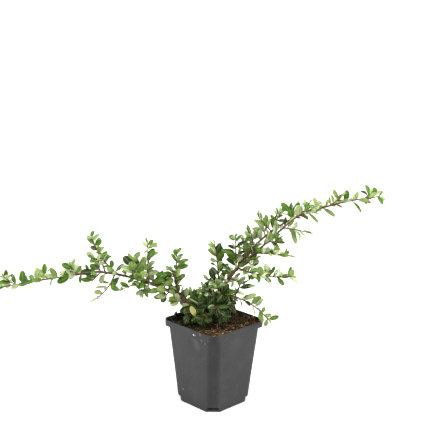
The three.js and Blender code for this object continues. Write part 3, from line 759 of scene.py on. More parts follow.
def stem_faces(line, radius, rings=8, sides=3):
    """A thin tube round a stem, to test whether a leaf meets it."""
    points, faces = [], []
    for ring in range(rings + 1):
        level, square = line.axes(ring / rings)[1:]
        for turn in range(sides):
            angle = turn * math.tau / sides
            aside = level * math.sin(angle) + square * math.cos(angle)
            points.append(line.at(ring / rings) + aside * radius)
    for i in range(rings * sides):
        after = i + 1 if i % sides < sides - 1 else i - sides + 1
        faces.append((i, after, after + sides, i + sides))
    return points, faces


class Room:
    """The space that is still free for leaves."""

    def __init__(self, low, high):
        self.low, self.high = low, high
        self.trees = []

    def fill(self, shapes):
        points, faces = [], []
        for more_points, more_faces in shapes:
            first = len(points)
            points += more_points
            faces += [tuple(first + i for i in face) for face in more_faces]
        self.trees.append(BVHTree.FromPolygons(points, faces))

    def holds(self, point):
        return not self.low or all(self.low[i] <= point[i] <= self.high[i] for i in range(3))

    def takes(self, leaf):
        """Whether a leaf meets nothing, its own stem apart. If so, its place is taken."""
        points, faces = leaf_faces(leaf)
        if not all(self.holds(point) for point in points):
            return False
        ahead = BVHTree.FromPolygons([point + leaf.ahead * FOOT_ROOM for point in points], faces)
        if any(ahead.overlap(tree) for tree in self.trees):
            return False
        self.fill([(points, faces)])
        return True


class Stem:
    """A stem to be dressed: its course, its radius at the foot, where its leaves stand, and where it ends."""

    def __init__(self, line, foot, knots, stand_off=0):
        self.line, self.foot, self.knots, self.stand_off = line, foot, knots, stand_off
        self.end = 1


def kind_of(name, kinds, other):
    """The first kind that a name belongs to by how it starts, or the other one."""
    return next((kind for kind, starts in kinds.items() if name.startswith(starts)), other)


def shape_of(name):
    return LEAF_SHAPES[kind_of(name, SHAPES, "slender")]


def spots(count, places, dice):
    """Places along a stem, one in each of as many parts of it."""
    first, extent = places
    for i in range(count):
        yield first + extent * (i + dice.roll(0.1, 0.9)) / count


class Plant:
    """The whole plant by the rule: its limbs, and for each spray its stems and its leaves."""

    def __init__(self, small_leaf, leaf_spacing):
        self.small_leaf, self.leaf_spacing = small_leaf, leaf_spacing
        start = Vector((TRUNK["x"], TRUNK["y"], GROUND))
        self.lines = {"trunk": Course(start, TRUNK["heading"], TRUNK["rise"], length=TRUNK["length"])}
        self.limbs = {row[0]: dict(zip(LIMB_FIELDS, row)) for row in LIMBS}
        self.sprays = [dict(zip(SPRAY_FIELDS, row), on=limb) for limb, rows in SPRAYS for row in rows]
        for name, limb in self.limbs.items():
            self.lines[name] = self.course(limb)
        self.stems, self.leaves = {}, {}
        for spray in self.sprays:
            self.grow_kept(spray)
        self.grow_lone()
        for spray in self.sprays:
            self.grow_small(spray)
        self.grow_on_limbs()

    def course(self, row):
        return Course(self.lines[row["on"]].at(row["at"]), *(row[key] for key in COURSE_FIELDS))

    def free_room(self, low=None, high=None):
        """The space that the plant leaves free so far."""
        room = Room(low, high)
        room.fill([leaf_faces(leaf) for leaves in self.leaves.values() for leaf in leaves])
        for stems in self.stems.values():
            room.fill([stem_faces(stem.line, STEM_ROOM) for stem in stems])
        boughs = ((self.lines[name], limb["thick"] / 2 + BOUGH_ROOM) for name, limb in self.limbs.items())
        room.fill([stem_faces(*bough) for bough in boughs])
        return room

    def grow_kept(self, spray):
        """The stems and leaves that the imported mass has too."""
        name = spray["name"]
        corners = PackedCorners(name)
        shapes = Dice(spray["seed"] + KEPT_SEED)
        self.stems[name], self.leaves[name] = [], []
        for i, (line, places) in enumerate(growth(spray, self.course(spray))):
            if i and not corners.has_twig(line):
                continue
            kept = [leaf for leaf in places if corners.has_leaf(leaf)]
            for leaf in kept:
                leaf.slim(shape_of(name)["kept"], shapes)
            foot = TWIG_RADIUS if i else STEM_RADIUS + STEM_SWELL * spray["length"]
            self.stems[name].append(Stem(line, foot, [leaf.share for leaf in kept]))
            self.leaves[name] += kept

    def grow_lone(self):
        """The leaves that stand by themselves, each leaning as little as it needs to be clear."""
        room = self.free_room()
        dice = Dice(LONE_SEED)
        for name, share, *look in ((name, *row) for name, rows in LONE_LEAVES for row in rows):
            on_bough = name in self.limbs
            line = self.lines[name] if on_bough else self.stems[name][0].line
            for lean in LEANS:
                leaf = Leaf(line, share, 0, 0, 0, 0, dice)
                leaf.stand(lean, *look)
                if on_bough:
                    leaf.base += leaf.ahead * self.limbs[name]["thick"] * BOUGH_FOOT
                if room.takes(leaf):
                    self.leaves.setdefault(name, []).append(leaf)
                    if not on_bough:
                        self.stems[name][0].knots.append(share)
                    break

    def grow_small(self, spray):
        """Young leaves fill in between the others, inside the spray's own reach, and close each bare tip."""
        name = spray["name"]
        low, high = (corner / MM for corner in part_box(name))
        margin = Vector((REACH, REACH, REACH))
        room = self.free_room(low - margin, high + margin)
        dice = Dice(spray["seed"] + YOUNG_SEED)
        spacing, sizes = YOUNG_LEAVES[kind_of(name, HABITS, "close")]
        for stem in self.stems[name]:
            if not stem.knots or max(stem.knots) < BARE_TIP:
                for share in TIP_PLACES:
                    self.try_leaf(name, stem, share, TIP_SPLAY, TIP_SIZES, room, dice, TRIES * 2)
            count = 0 if name == BARE_SHOOT else round(stem.line.length / self.leaf_spacing / spacing)
            for share in spots(count, YOUNG_PLACES, dice):
                self.try_leaf(name, stem, share, shape_of(name)["splay"], sizes, room, dice)
            if stem.knots and max(stem.knots) < CUT_TIP:
                stem.end = max(stem.knots) + PAST_LAST_LEAF / stem.line.length

    def grow_on_limbs(self):
        """Leaves that stand straight on the boughs, between the sprays."""
        room = self.free_room()
        for number, (name, limb) in enumerate(self.limbs.items()):
            dice = Dice(BOUGH_SEED + number)
            self.leaves.setdefault(name, [])
            bough = Stem(self.lines[name], 0, [], stand_off=limb["thick"] / 2 * BOUGH_STAND)
            for share in spots(round(limb["length"] / BOUGH_SPACING), BOUGH_PLACES, dice):
                self.try_leaf(name, bough, share, BOUGH_SPLAY, BOUGH_SIZES, room, dice)

    def try_leaf(self, name, stem, share, splays, sizes, room, dice, tries=TRIES):
        """Adds one young leaf where it meets nothing, or none."""
        for trial in range(tries):
            turn = dice.roll(0, math.tau)
            splay = math.radians(dice.roll(*splays))
            size = self.small_leaf * dice.roll(*sizes)
            lift = dice.roll(0, 0.45) * (-2 if name.startswith(HANGING) else 1)
            leaf = Leaf(stem.line, share, turn, splay, lift, size, dice)
            leaf.facing = square_to(leaf.ahead, leaf.facing + shape_of(name)["face"])
            leaf.slim(shape_of(name)["young"], dice)
            leaf.base += leaf.ahead * stem.stand_off
            if room.takes(leaf):
                self.leaves[name].append(leaf)
                stem.knots.append(share)
                return

    def deal_tones(self):
        """Deals each leaf its tone by how its spray stands to the light, and so paints shade into the leaves
        of the shaded sprays.
        """
        for number, (name, leaves) in enumerate(self.leaves.items()):
            shares, turned_over = TONE_SHARES[kind_of(name, LIGHTS, "between")]
            dice = Dice(TONE_SEED + number)
            for leaf in leaves:
                draw = dice.roll(0, 1)
                over = dice.roll(0, 1) < turned_over
                if leaf.tone is None:
                    leaf.tone, leaf.turned_over = self.dealt(shares, draw), over

    def dealt(self, shares, draw):
        """The tone that a draw from 0 to 1 falls to."""
        for tone, share in enumerate(shares):
            draw -= share
            if draw < 0:
                break
        return tone


PLANT = {}


def the_plant(context):
    """The plant, grown once for both the wood and the foliage."""
    if not PLANT:
        leaf = context.scene.shrub_leaf
        PLANT["grown"] = Plant(leaf.small_leaf / MM, leaf.spacing / MM)
        PLANT["grown"].deal_tones()
    return PLANT["grown"]


# Wood

# How a stem swells where a leaf stands, and a bough where a spray stands and at its scars: height and half
# width, in millimetres. A bud's rings are given by their distance past the last ring and by the share of its
# radius that they have.
LEAF_KNOT = (0.14, 0.5)
SPRAY_KNOT = (0.3, 1.5)
SCAR_HEIGHTS = (0.1, 0.28)
SCAR_WIDTH = 0.7
SCAR_SPACING = 4
BUD = ((0.4, 0.9), (0.8, 0.55), (1.1, 0.12))
FOOT_SWELL = 1.2
TIP_SWELL = 1.3

# How far the bark's pattern is moved on from one stem to the next.
BARK_SHIFT = 13.7


def wood_tree():
    """Turns courses, given as chains of edges with a radius at each point, into stems with bark."""
    inputs = {"Sides": "Int", "Relief": "Float", "Grain": "Float", "Bark": "Material"}
    graph, given, result = geometry_tree("stems with bark", **inputs)
    radius = graph.attribute("radius")
    ring = graph.add("GeometryNodeCurvePrimitiveCircle", Resolution=given["Sides"], Radius=1.0)
    ring = graph.store(ring, "ring", graph.add("GeometryNodeInputPosition"))
    curves = graph.add("GeometryNodeMeshToCurve", given["Geometry"])
    tube = graph.add("GeometryNodeCurveToMesh", Curve=curves, Profile_Curve=ring, Scale=radius, Fill_Caps=True)
    along = graph.add("ShaderNodeCombineXYZ", Z=graph.attribute("along"))
    tube = graph.store(tube, "bark", graph.vector("ring") * radius + along)
    ridges = graph.noise(graph.vector("bark") * (1, 1, 0.22), given["Grain"], 3.0, 0.6)
    depth = (ridges - 0.5) * given["Relief"] * radius
    offset = graph.add("GeometryNodeInputNormal") * depth
    tube = graph.add("GeometryNodeSetPosition", Geometry=tube, Offset=offset)
    tube = graph.add("GeometryNodeSetShadeSmooth", Geometry=tube)
    tube = graph.add("GeometryNodeRealizeInstances", Geometry=tube)
    graph.set(result[0], graph.add("GeometryNodeSetMaterial", Geometry=tube, Material=given["Bark"]))
    return graph


def chain_object(name, chains):
    """An object of edge chains. Each chain is a list of (point, radius) in millimetres."""
    points, edges, radii, along = [], [], [], []
    for number, chain in enumerate(chains):
        travelled = number * BARK_SHIFT
        for i, (point, radius) in enumerate(chain):
            if i:
                edges.append((len(points) - 1, len(points)))
                travelled += (point - chain[i - 1][0]).length
            points.append(point * MM)
            radii.append(radius * MM)
            along.append(travelled * MM)
    mesh = new_mesh(name, points, edges)
    set_points(mesh, "radius", radii)
    set_points(mesh, "along", along)
    return new_object(name, mesh)


def chain_along(line, count, end, radius_at):
    """Points at even steps from the foot to the end, each with its radius."""
    return [(line.at(end * i / count), radius_at(end * i / count)) for i in range(count + 1)]


def swelling(line, share, knot, height, width):
    """How much a knot thickens its stem at a share of its length. Height and width are in millimetres."""
    return height * math.exp(-(((share - knot) * line.length / width) ** 2))


def stem_chain(stem, step):
    """A stem's rings. It thickens a little where each leaf stands, and its tip closes in a bud."""
    line, end = stem.line, min(1, stem.end)
    foot, tip = stem.foot * FOOT_SWELL, TIP_RADIUS * TIP_SWELL

    def radius_at(share):
        knots = (swelling(line, share, knot, *LEAF_KNOT) for knot in stem.knots)
        return sum(knots, foot + (tip - foot) * share)

    chain = chain_along(line, max(4, round(line.length * end / step)), end, radius_at)
    last_point, last_radius = chain[-1]
    for beyond, share in BUD:
        chain.append((last_point + line.axes(end)[0] * beyond, last_radius * share))
    return chain


class SHRUB_OT_wood(bpy.types.Operator):
    """Grow the trunk and the boughs, with their bark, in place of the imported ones"""

    bl_idname = "shrub.wood"
    bl_label = "Trunk and boughs"
    bl_options = {"REGISTER", "UNDO"}

    def execute(self, context):
        settings = context.scene.shrub_wood
        plant = the_plant(context)
        graph = wood_tree()
        values = {"Sides": settings.limb_sides, "Relief": settings.relief, "Grain": settings.grain}
        values["Bark"] = bark_material("old bark", settings.bark, 0.35)
        radii = {"trunk": self.trunk_radius}
        radii.update({name: self.limb_radius(plant, name) for name in plant.limbs})
        for name, radius_at in radii.items():
            line = plant.lines[name]
            chain = chain_along(line, round(line.length / (settings.limb_step / MM)), 1, radius_at)
            piece = chain_object(name + "_bark", [chain])
            run_tree(piece, graph, **values)
            finish_piece(piece, "bark", name)
        return {"FINISHED"}

    def trunk_radius(self, share):
        waist, top, flare = TRUNK["waist"], TRUNK["top"], TRUNK["flare"]
        return top + (waist - top) * (1 - share) + (flare - waist) * (1 - share) ** 4

    def limb_radius(self, plant, name):
        """The radius along a bough, thicker where sprays stand and at scars between them."""
        limb, line = plant.limbs[name], plant.lines[name]
        knots = [(spray["at"], *SPRAY_KNOT) for spray in plant.sprays if spray["on"] == name]
        dice = Dice(round(limb["length"]))
        scars = round(limb["length"] / SCAR_SPACING)
        knots += [((i + dice.roll(0, 1)) / scars, dice.roll(*SCAR_HEIGHTS), SCAR_WIDTH) for i in range(scars)]

        def radius_at(share):
            radius = (limb["thick"] + (limb["thin"] - limb["thick"]) * share) / 2
            return sum((swelling(line, share, *knot) for knot in knots), radius)

        return radius_at


# Leaves


# How much thicker a petiole is than the blade, how deep the midrib lies, how far the halves are cupped, as a
# share of the width, and how far apart the pattern's two sides are drawn.
PETIOLE_THICKNESS = 1.6
MIDRIB_DEPTH = 0.1
CUP = 0.12
PATTERN_GAP = 0.05


def blade_object():
    """The pattern of a leaf: x along, y across and z over, with its two sides joined at the margin."""
    built = bmesh.new()
    layers = {name: built.verts.layers.float.new(name) for name in ("along", "across", "over", "cup")}
    under = built.faces.layers.bool.new("under")
    patterns = built.loops.layers.uv.new("blade")
    last = len(BLADE_ROWS)
    rows = (0, *BLADE_ROWS, 1)
    places = {}

    def corner(row, column, side):
        at_end = row in (0, last + 1)
        column = 0 if at_end else column
        side = 0 if at_end or abs(column) == 1 else side
        key = (row, column, side)
        if key not in places:
            share = rows[row]
            half = 0 if at_end else max(PETIOLE_HALF, leaf_edge(max(0, (share - PETIOLE) / (1 - PETIOLE))))
            vertex = built.verts.new((share, half * column, PATTERN_GAP * side))
            vertex[layers["along"]] = share
            vertex[layers["across"]] = half * column
            vertex[layers["over"]] = side * (1 if share > PETIOLE else PETIOLE_THICKNESS)
            vertex[layers["cup"]] = (0.5 - abs(column)) * half if column else -MIDRIB_DEPTH * half
            places[key] = vertex
        return places[key], ((column + 1) / 2, rows[row])

    def face(corners, side):
        found = [corner(*place, side) for place in corners][::side]
        made = built.faces.new([vertex for vertex, place in found])
        made[under] = side < 0
        made.smooth = True
        for loop, (vertex, place) in zip(made.loops, found):
            loop[patterns].uv = place

    for side in (1, -1):
        for left, right in zip(BLADE_COLUMNS, BLADE_COLUMNS[1:]):
            face([(0, 0), (1, left), (1, right)], side)
            face([(last + 1, 0), (last, right), (last, left)], side)
            for row in range(1, last):
                face([(row, left), (row + 1, left), (row + 1, right), (row, right)], side)
    return new_object("blade_pattern", built_mesh("blade_pattern", built))


def leaf_tree(tops, underside):
    """Sets a blade at each point, turned, folded and drooping as the point's attributes say."""
    graph, given, result = geometry_tree("leaves on stems", Blade="Object", Thickness="Float")
    names = ("along", "across", "over", "cup", "width", "length", "fold", "droop")
    along, across, over, cup, width, reach, fold, droop = (graph.attribute(name) for name in names)
    ahead, facing = graph.vector("ahead"), graph.vector("facing")
    blade = graph.add("GeometryNodeObjectInfo", Object=given["Blade"])["Geometry"]
    points = {"Points": given["Geometry"], "Instance": blade, "Scale": (0.0, 0.0, 0.0)}
    leaves = graph.add("GeometryNodeInstanceOnPoints", **points)
    leaves = graph.add("GeometryNodeRealizeInstances", Geometry=leaves)
    across = across * width
    lift = fold * abs(across) - along * along * droop * reach
    lift = lift + over * given["Thickness"] * 0.5 + cup * (width * CUP)
    place = graph.add("GeometryNodeInputPosition") + ahead * (along * reach)
    place = place + graph.math("CROSS_PRODUCT", facing, ahead) * across + facing * lift
    leaves = graph.add("GeometryNodeSetPosition", Geometry=leaves, Position=place)
    leaves = graph.add("GeometryNodeSetShadeSmooth", Geometry=leaves)
    leaves = graph.add("GeometryNodeSetMaterial", Geometry=leaves, Material=underside)
    sides = (graph.attribute(name, "BOOLEAN") for name in ("under", "turned_over"))
    is_top = graph.add("FunctionNodeBooleanMath", *sides, operation="XNOR")
    for tone, material in enumerate(tops):
        same = graph.add("FunctionNodeCompare", data_type="INT", operation="EQUAL")
        inputs = same.socket.node.inputs
        graph.set(inputs[2], graph.attribute("tone", "INT"))
        graph.set(inputs[3], tone)
        chosen = graph.add("FunctionNodeBooleanMath", same, is_top, operation="AND")
        leaves = graph.add("GeometryNodeSetMaterial", Geometry=leaves, Selection=chosen, Material=material)
    graph.set(result[0], leaves)
    return graph


def leaf_points(name, leaves):
    """A point for each leaf, with what the leaf's tree asks for."""
    mesh = new_mesh(name, [leaf.base * MM for leaf in leaves])
    for label in ("ahead", "facing"):
        set_points(mesh, label, [value for leaf in leaves for value in getattr(leaf, label)], "FLOAT_VECTOR")
    for label, unit in (("length", MM), ("width", MM), ("fold", 1), ("droop", 1)):
        set_points(mesh, label, [getattr(leaf, label) * unit for leaf in leaves])
    set_points(mesh, "tone", [leaf.tone for leaf in leaves], "INT")
    set_points(mesh, "turned_over", [leaf.turned_over for leaf in leaves], "BOOLEAN")
    return new_object(name, mesh)


class SHRUB_OT_foliage(bpy.types.Operator):
    """Grow the twigs and leaves of each mass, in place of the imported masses"""

    bl_idname = "shrub.foliage"
    bl_label = "Twigs and leaves"
    bl_options = {"REGISTER", "UNDO"}

    def execute(self, context):
        wood = context.scene.shrub_wood
        leaf = context.scene.shrub_leaf
        plant = the_plant(context)
        stems_graph = wood_tree()
        young = bark_material("young bark", wood.young, 0.2)
        bark = {"Relief": wood.relief, "Grain": wood.grain, "Bark": young}
        tops = [leaf_material(tone, getattr(leaf, tone), 0.34, True) for tone in TONES]
        leaves_graph = leaf_tree(tops, leaf_material("underside", leaf.underside, 0.62, False))
        blade = blade_object()
        step = wood.twig_step / MM
        for group in ("left", "crown", "right"):
            names = [spray["name"] for spray in plant.sprays if spray["name"].startswith(group)]
            chains = [stem_chain(stem, step) for name in names for stem in plant.stems[name]]
            twigs = chain_object(group + "_twigs", chains)
            run_tree(twigs, stems_graph, Sides=wood.twig_sides, **bark)
            finish_piece(twigs, "bark", *names)
            leaves = [one for name, some in plant.leaves.items() if name.startswith(group) for one in some]
            piece = leaf_points(group + "_leaves", leaves)
            run_tree(piece, leaves_graph, Blade=blade, Thickness=leaf.thickness)
            finish_piece(piece, "foliage", *names)
        remove_object(blade)
        return {"FINISHED"}


# Pot


def pot_outline(width, corner_width, rounding, steps=5):
    """A square of this width whose corners are cut by flats with rounded edges."""
    half = width / 2
    cut = corner_width / math.sqrt(2)
    slant = rounding / math.sqrt(2)
    bends = (
        ((half, half - cut - rounding), (half, half - cut), (half - slant, half - cut + slant)),
        ((half - cut + slant, half - slant), (half - cut, half), (half - cut - rounding, half)),
    )
    quarter = []
    for points in bends:
        for i in range(steps + 1):
            t = i / steps
            weights = ((1 - t) ** 2, 2 * t * (1 - t), t ** 2)
            quarter.append(tuple(sum(w * p[k] for w, p in zip(weights, points)) for k in (0, 1)))
    turns = (lambda x, y: (x, y), lambda x, y: (-y, x), lambda x, y: (-x, -y), lambda x, y: (y, -x))
    diagonal = Matrix.Rotation(math.radians(45), 2)
    return [diagonal @ Vector(turn(x, y)) for turn in turns for x, y in quarter]


def wall_width(pot, height):
    """Across the flats of the tapered wall."""
    shoulder = pot.height - pot.rim_height
    return pot.base_width + (pot.shoulder_width - pot.base_width) * height / shoulder


def skin(pot, name, profile):
    """A closed mesh through level rings, each given by its height, its width and its corner's."""
    outlines = [(z, pot_outline(width, corner, pot.corner_rounding)) for z, width, corner in profile]
    count = len(outlines[0][1])
    points = [(x, y, z) for z, outline in outlines for x, y in outline]
    faces = []
    for ring in range(0, len(points) - count, count):
        for i in range(count):
            a, b = ring + i, ring + (i + 1) % count
            faces.append((a, b, b + count, a + count))
    faces.append(tuple(reversed(range(count))))
    faces.append(tuple(range(len(points) - count, len(points))))
    return new_object(name, new_mesh(name, points, (), faces))


def box_object(name, low, high, turn):
    built = bmesh.new()
    bmesh.ops.create_cube(built, size=1)
    for vertex in built.verts:
        place = [low[i] + (high[i] - low[i]) * (vertex.co[i] + 0.5) for i in range(3)]
        vertex.co = Matrix.Rotation(turn, 3, "Z") @ Vector(place)
    return new_object(name, built_mesh(name, built))


def rod_object(name, radius, low, high, place):
    built = bmesh.new()
    bmesh.ops.create_cone(built, cap_ends=True, segments=24, radius1=radius, radius2=radius, depth=high - low)
    for vertex in built.verts:
        vertex.co += Vector((*place, (low + high) / 2))
    return new_object(name, built_mesh(name, built))


def cut(obj, cutters):
    for cutter in cutters:
        modifier = obj.modifiers.new("cut", "BOOLEAN")
        modifier.operation = "DIFFERENCE"
        modifier.solver = "EXACT"
        modifier.object = cutter
    apply_modifiers(obj)
    for cutter in cutters:
        remove_object(cutter)


# How far a cutter reaches past what it cuts, the steps under the corners and the drain holes.
PAST = 0.001
NOTCH = {"widths": (0.019, 0.0125), "height": 0.006, "depth": 0.010}
DRAIN = {"radius": 0.003, "from_middle": 0.017}
TRUE_EDGE = math.radians(40)


class SHRUB_OT_pot(bpy.types.Operator):
    """Mould the square pot, with its rim, the steps under its corners and its drain holes"""

    bl_idname = "shrub.pot"
    bl_label = "Pot"
    bl_options = {"REGISTER", "UNDO"}

    def execute(self, context):
        pot = context.scene.shrub_pot
        outer = skin(pot, "pot_moulding", self.outer_profile(pot))
        inner = skin(pot, "pot_cavity", self.inner_profile(pot))
        cut(inner, self.corner_blocks(pot, pot.wall))
        cut(outer, [inner, *self.corner_blocks(pot, 0), *self.drains(pot)])
        self.round_off(outer)
        outer.data.materials.append(plastic_material(pot.plastic))
        finish_piece(outer, "pot_plastic", "pot")
        return {"FINISHED"}

    def outer_profile(self, pot):
        shoulder = pot.height - pot.rim_height
        soft = pot.lip_rounding
        bulge = soft * (1 - math.sqrt(0.5))
        wall = pot.corner_width
        rim = pot.rim_corner
        return [
            (0, pot.base_width, wall),
            (0.0006, pot.base_width + 0.0002, wall),
            (shoulder - 0.0008, wall_width(pot, shoulder - 0.0008), wall),
            (shoulder, pot.shoulder_width + 0.0004, wall),
            (shoulder, pot.rim_width - 2 * soft, rim),
            (shoulder + bulge, pot.rim_width - 2 * bulge, rim),
            (shoulder + soft, pot.rim_width, rim),
            (pot.height - soft, pot.rim_width, rim),
            (pot.height - bulge, pot.rim_width - 2 * bulge, rim),
            (pot.height, pot.rim_width - 2 * soft, rim),
        ]

    def inner_profile(self, pot):
        inset = 2 * pot.wall
        soft = pot.lip_rounding
        ledge = pot.height - pot.rim_height + pot.wall
        wall = pot.corner_width
        rim = pot.rim_corner
        return [
            (pot.wall, wall_width(pot, pot.wall) - inset, wall),
            (ledge - 0.0005, wall_width(pot, ledge) - inset, wall),
            (ledge, pot.rim_width - inset - 0.001, rim),
            (ledge + 0.0005, pot.rim_width - inset, rim),
            (pot.height - soft, pot.rim_width - inset, rim),
            (pot.height, pot.rim_width - inset + 1.4 * soft, rim),
            (pot.height + PAST, pot.rim_width - inset + 1.4 * soft, rim),
        ]

    def corner_blocks(self, pot, margin):
        outer_face = (pot.base_width * math.sqrt(2) - pot.corner_width) / 2
        inner_face = outer_face - NOTCH["depth"] - margin
        blocks = []
        for i in range(4):
            half = NOTCH["widths"][i % 2] / 2 + margin
            low = (inner_face, -half, -PAST)
            high = (outer_face + NOTCH["depth"] + margin, half, NOTCH["height"] + margin)
            blocks.append(box_object("corner_block", low, high, math.radians(90 * i)))
        return blocks

    def drains(self, pot):
        holes = []
        for i in range(4):
            angle = math.radians(45 + 90 * i)
            place = (DRAIN["from_middle"] * math.cos(angle), DRAIN["from_middle"] * math.sin(angle))
            holes.append(rod_object("drain", DRAIN["radius"], -PAST, pot.wall + PAST, place))
        return holes

    def round_off(self, obj):
        """Smooth shading, with the true edges kept sharp."""
        built = bmesh.new()
        built.from_mesh(obj.data)
        bmesh.ops.remove_doubles(built, verts=built.verts, dist=1e-6)
        for face in built.faces:
            face.smooth = True
        for edge in built.edges:
            edge.smooth = len(edge.link_faces) == 2 and edge.calc_face_angle(0) < TRUE_EDGE
        built.to_mesh(obj.data)
        built.free()
        obj.name = obj.data.name = "pot_shell"


# Soil


def soil_height(x, y):
    """Height of the soil's surface, in millimetres: flat where the trunk stands, lumpy further out."""
    away = math.hypot(x - TRUNK["x"], y - TRUNK["y"])
    flat, slope, crown, lump, level = 8, 45, 1.7, 0.9, 95
    rise = crown if away < flat else crown * max(0, 1 - away / slope)
    waves = math.sin(0.33 * x + 1) * math.cos(0.29 * y) + 0.7 * math.sin(0.61 * y - 0.23 * x)
    return level + rise + lump * waves * eased((away - flat) / flat)


def eased(share):
    """From 0 to 1 with soft ends."""
    share = min(max(share, 0), 1)
    return share * share * (3 - 2 * share)


# Clods that stand above the rim at the left and behind: where, how wide and how high, in millimetres.
LUMPS = (
    (-50, 4, 2.0, 3.6), (-45, 11, 2.3, 6.2), (-41, 14, 1.8, 3.6), (-37, 19, 2.2, 5.6), (-30, 26, 2.8, 4.4),
    (-22, 33, 2.6, 3.4), (-12, 43, 2.8, 3.2), (2, 52, 2.6, 2.6), (14, 41, 3.0, 2.6), (24, 31, 2.4, 3.4),
    (35, 20, 2.8, 2.8), (45, 10, 2.4, 3.0), (20, -20, 3.0, 1.6), (8, -40, 2.6, 1.4), (-14, -30, 2.4, 1.5),
)


def lump_height(lump, x, y):
    lump_x, lump_y, width, height = lump
    away = math.hypot(x - lump_x, y - lump_y) / width
    return height * max(0, 1 - away * away * 0.4) ** 2


def heap_share(share, angle):
    """Soil lies heaped against the wall, most at the back and at the left, and unevenly."""
    side = 0.55 + 0.45 * math.sin(angle + math.radians(-20))
    uneven = 0.75 + 0.25 * math.sin(7 * angle + 1) * math.sin(3.1 * angle)
    return eased((share - 0.72) / 0.22) * side * uneven


def spread(outline, steps):
    """An outline with more points along its sides."""
    sides = zip(outline, outline[1:] + outline[:1], steps)
    return [start.lerp(end, i / count) for start, end, count in sides for i in range(count)]


# The rings of the soil's surface, the space between points on its edge, and the share of the wall's width that
# its foot has.
SOIL_RINGS = 64
SOIL_SPACING = 0.0022
SOIL_FOOT = 0.68


def soil_mesh(pot, soil):
    """The soil fills the pot: a fine surface on top, and plain sides down to the floor."""
    inset = 2 * (pot.wall + soil.gap)
    ledge = pot.height - pot.rim_height + pot.wall + soil.gap
    outline = pot_outline(pot.rim_width - inset, pot.rim_corner, pot.corner_rounding)
    steps = [max(1, round((b - a).length / SOIL_SPACING)) for a, b in zip(outline, outline[1:] + outline[:1])]
    edge = spread(outline, steps)
    count = len(edge)
    points = [(0, 0, soil_height(0, 0) * MM)]
    for ring in range(1, SOIL_RINGS + 1):
        share = ring / SOIL_RINGS
        for x, y in edge:
            place = (x * share / MM, y * share / MM)
            height = soil_height(*place) * MM
            height += soil.heap * heap_share(share, math.atan2(y, x))
            height += sum(lump_height(lump, *place) for lump in LUMPS) * MM
            points.append((x * share, y * share, height))
    top = len(points)
    lower = (
        (ledge, pot.rim_width - inset, pot.rim_corner),
        (ledge, wall_width(pot, ledge) - inset, pot.corner_width),
        (0.012, wall_width(pot, 0.012) - inset, pot.corner_width),
        (0.0095, SOIL_FOOT * (wall_width(pot, 0.009) - inset), SOIL_FOOT * pot.corner_width),
        (pot.wall + soil.gap, SOIL_FOOT * (wall_width(pot, 0) - inset), SOIL_FOOT * pot.corner_width),
    )
    for height, width, corner in lower:
        outline = spread(pot_outline(width, corner, pot.corner_rounding), steps)
        points += [(x, y, height) for x, y in outline]
    faces = [(0, 1 + i, 1 + (i + 1) % count) for i in range(count)]
    for ring in range(1, len(points) - count, count):
        for i in range(count):
            a, b = ring + i, ring + (i + 1) % count
            faces.append((a, a + count, b + count, b))
    faces.append(tuple(reversed(range(len(points) - count, len(points)))))
    mesh = new_mesh("soil_fill", points, (), faces)
    set_points(mesh, "top", [i < top for i in range(len(points))], "BOOLEAN")
    return mesh


def soil_tree():
    """Roughens the soil's top."""
    graph, given, result = geometry_tree("crumbly soil", Relief="Float", Soil="Material")
    lumps = graph.noise(graph.add("GeometryNodeInputPosition"), 420.0, 4.0, 0.65) - 0.5
    offset = graph.add("ShaderNodeCombineXYZ", Z=lumps * (given["Relief"] * 2.6))
    top = graph.attribute("top", "BOOLEAN")
    soil = graph.add("GeometryNodeSetPosition", Geometry=given["Geometry"], Selection=top, Offset=offset)
    soil = graph.add("GeometryNodeRealizeInstances", Geometry=soil)
    graph.set(result[0], graph.add("GeometryNodeSetMaterial", Geometry=soil, Material=given["Soil"]))
    return graph


def crumb_tree(materials):
    """Strews angular crumbs over the soil's top, some of peat and some of bark."""
    graph, given, result = geometry_tree("crumbs on soil", Density="Float", Size="Float", Seed="Int")

    def drawn(data_type, seed, low, high):
        node = graph.add("FunctionNodeRandomValue", Seed=given["Seed"] + seed, data_type=data_type).socket.node
        first = 2 if data_type == "FLOAT" else 0
        node.inputs[first].default_value = low
        node.inputs[first + 1].default_value = high
        return Value(graph, node.outputs[first // 2])

    top = {"Selection": graph.attribute("top", "BOOLEAN"), "Density": given["Density"], "Seed": given["Seed"]}
    points = graph.add("GeometryNodeDistributePointsOnFaces", Mesh=given["Geometry"], **top)
    points = graph.store(points, "kind", crumb_kind(graph, drawn("FLOAT", 4, 0.0, 100.0)))
    crumb = graph.add("GeometryNodeMeshIcoSphere", Radius=0.5, Subdivisions=1)
    turn = drawn("FLOAT_VECTOR", 1, (-0.6, -0.6, 0), (0.6, 0.6, math.tau))
    small = graph.math("POWER", drawn("FLOAT", 2, 0.22, 1.0), 1.7)
    scale = drawn("FLOAT_VECTOR", 3, (0.7, 0.45, 0.25), (1.5, 0.9, 0.55)) * small * given["Size"]
    placed = {"Rotation": graph.add("FunctionNodeEulerToRotation", Euler=turn), "Scale": scale}
    crumbs = graph.add("GeometryNodeInstanceOnPoints", Points=points, Instance=crumb, **placed)
    crumbs = graph.add("GeometryNodeRealizeInstances", Geometry=crumbs)
    noise = graph.noise(graph.add("GeometryNodeInputPosition"), 900.0, 1.0)["Color"]
    push = (noise - (0.5, 0.5, 0.5)) * (given["Size"] * 0.45)
    crumbs = graph.add("GeometryNodeSetPosition", Geometry=crumbs, Offset=push)
    for share, material in materials:
        chosen = graph.math("LESS_THAN", graph.attribute("kind"), float(share))
        crumbs = graph.add("GeometryNodeSetMaterial", Geometry=crumbs, Selection=chosen, Material=material)
    graph.set(result[0], crumbs)
    return graph


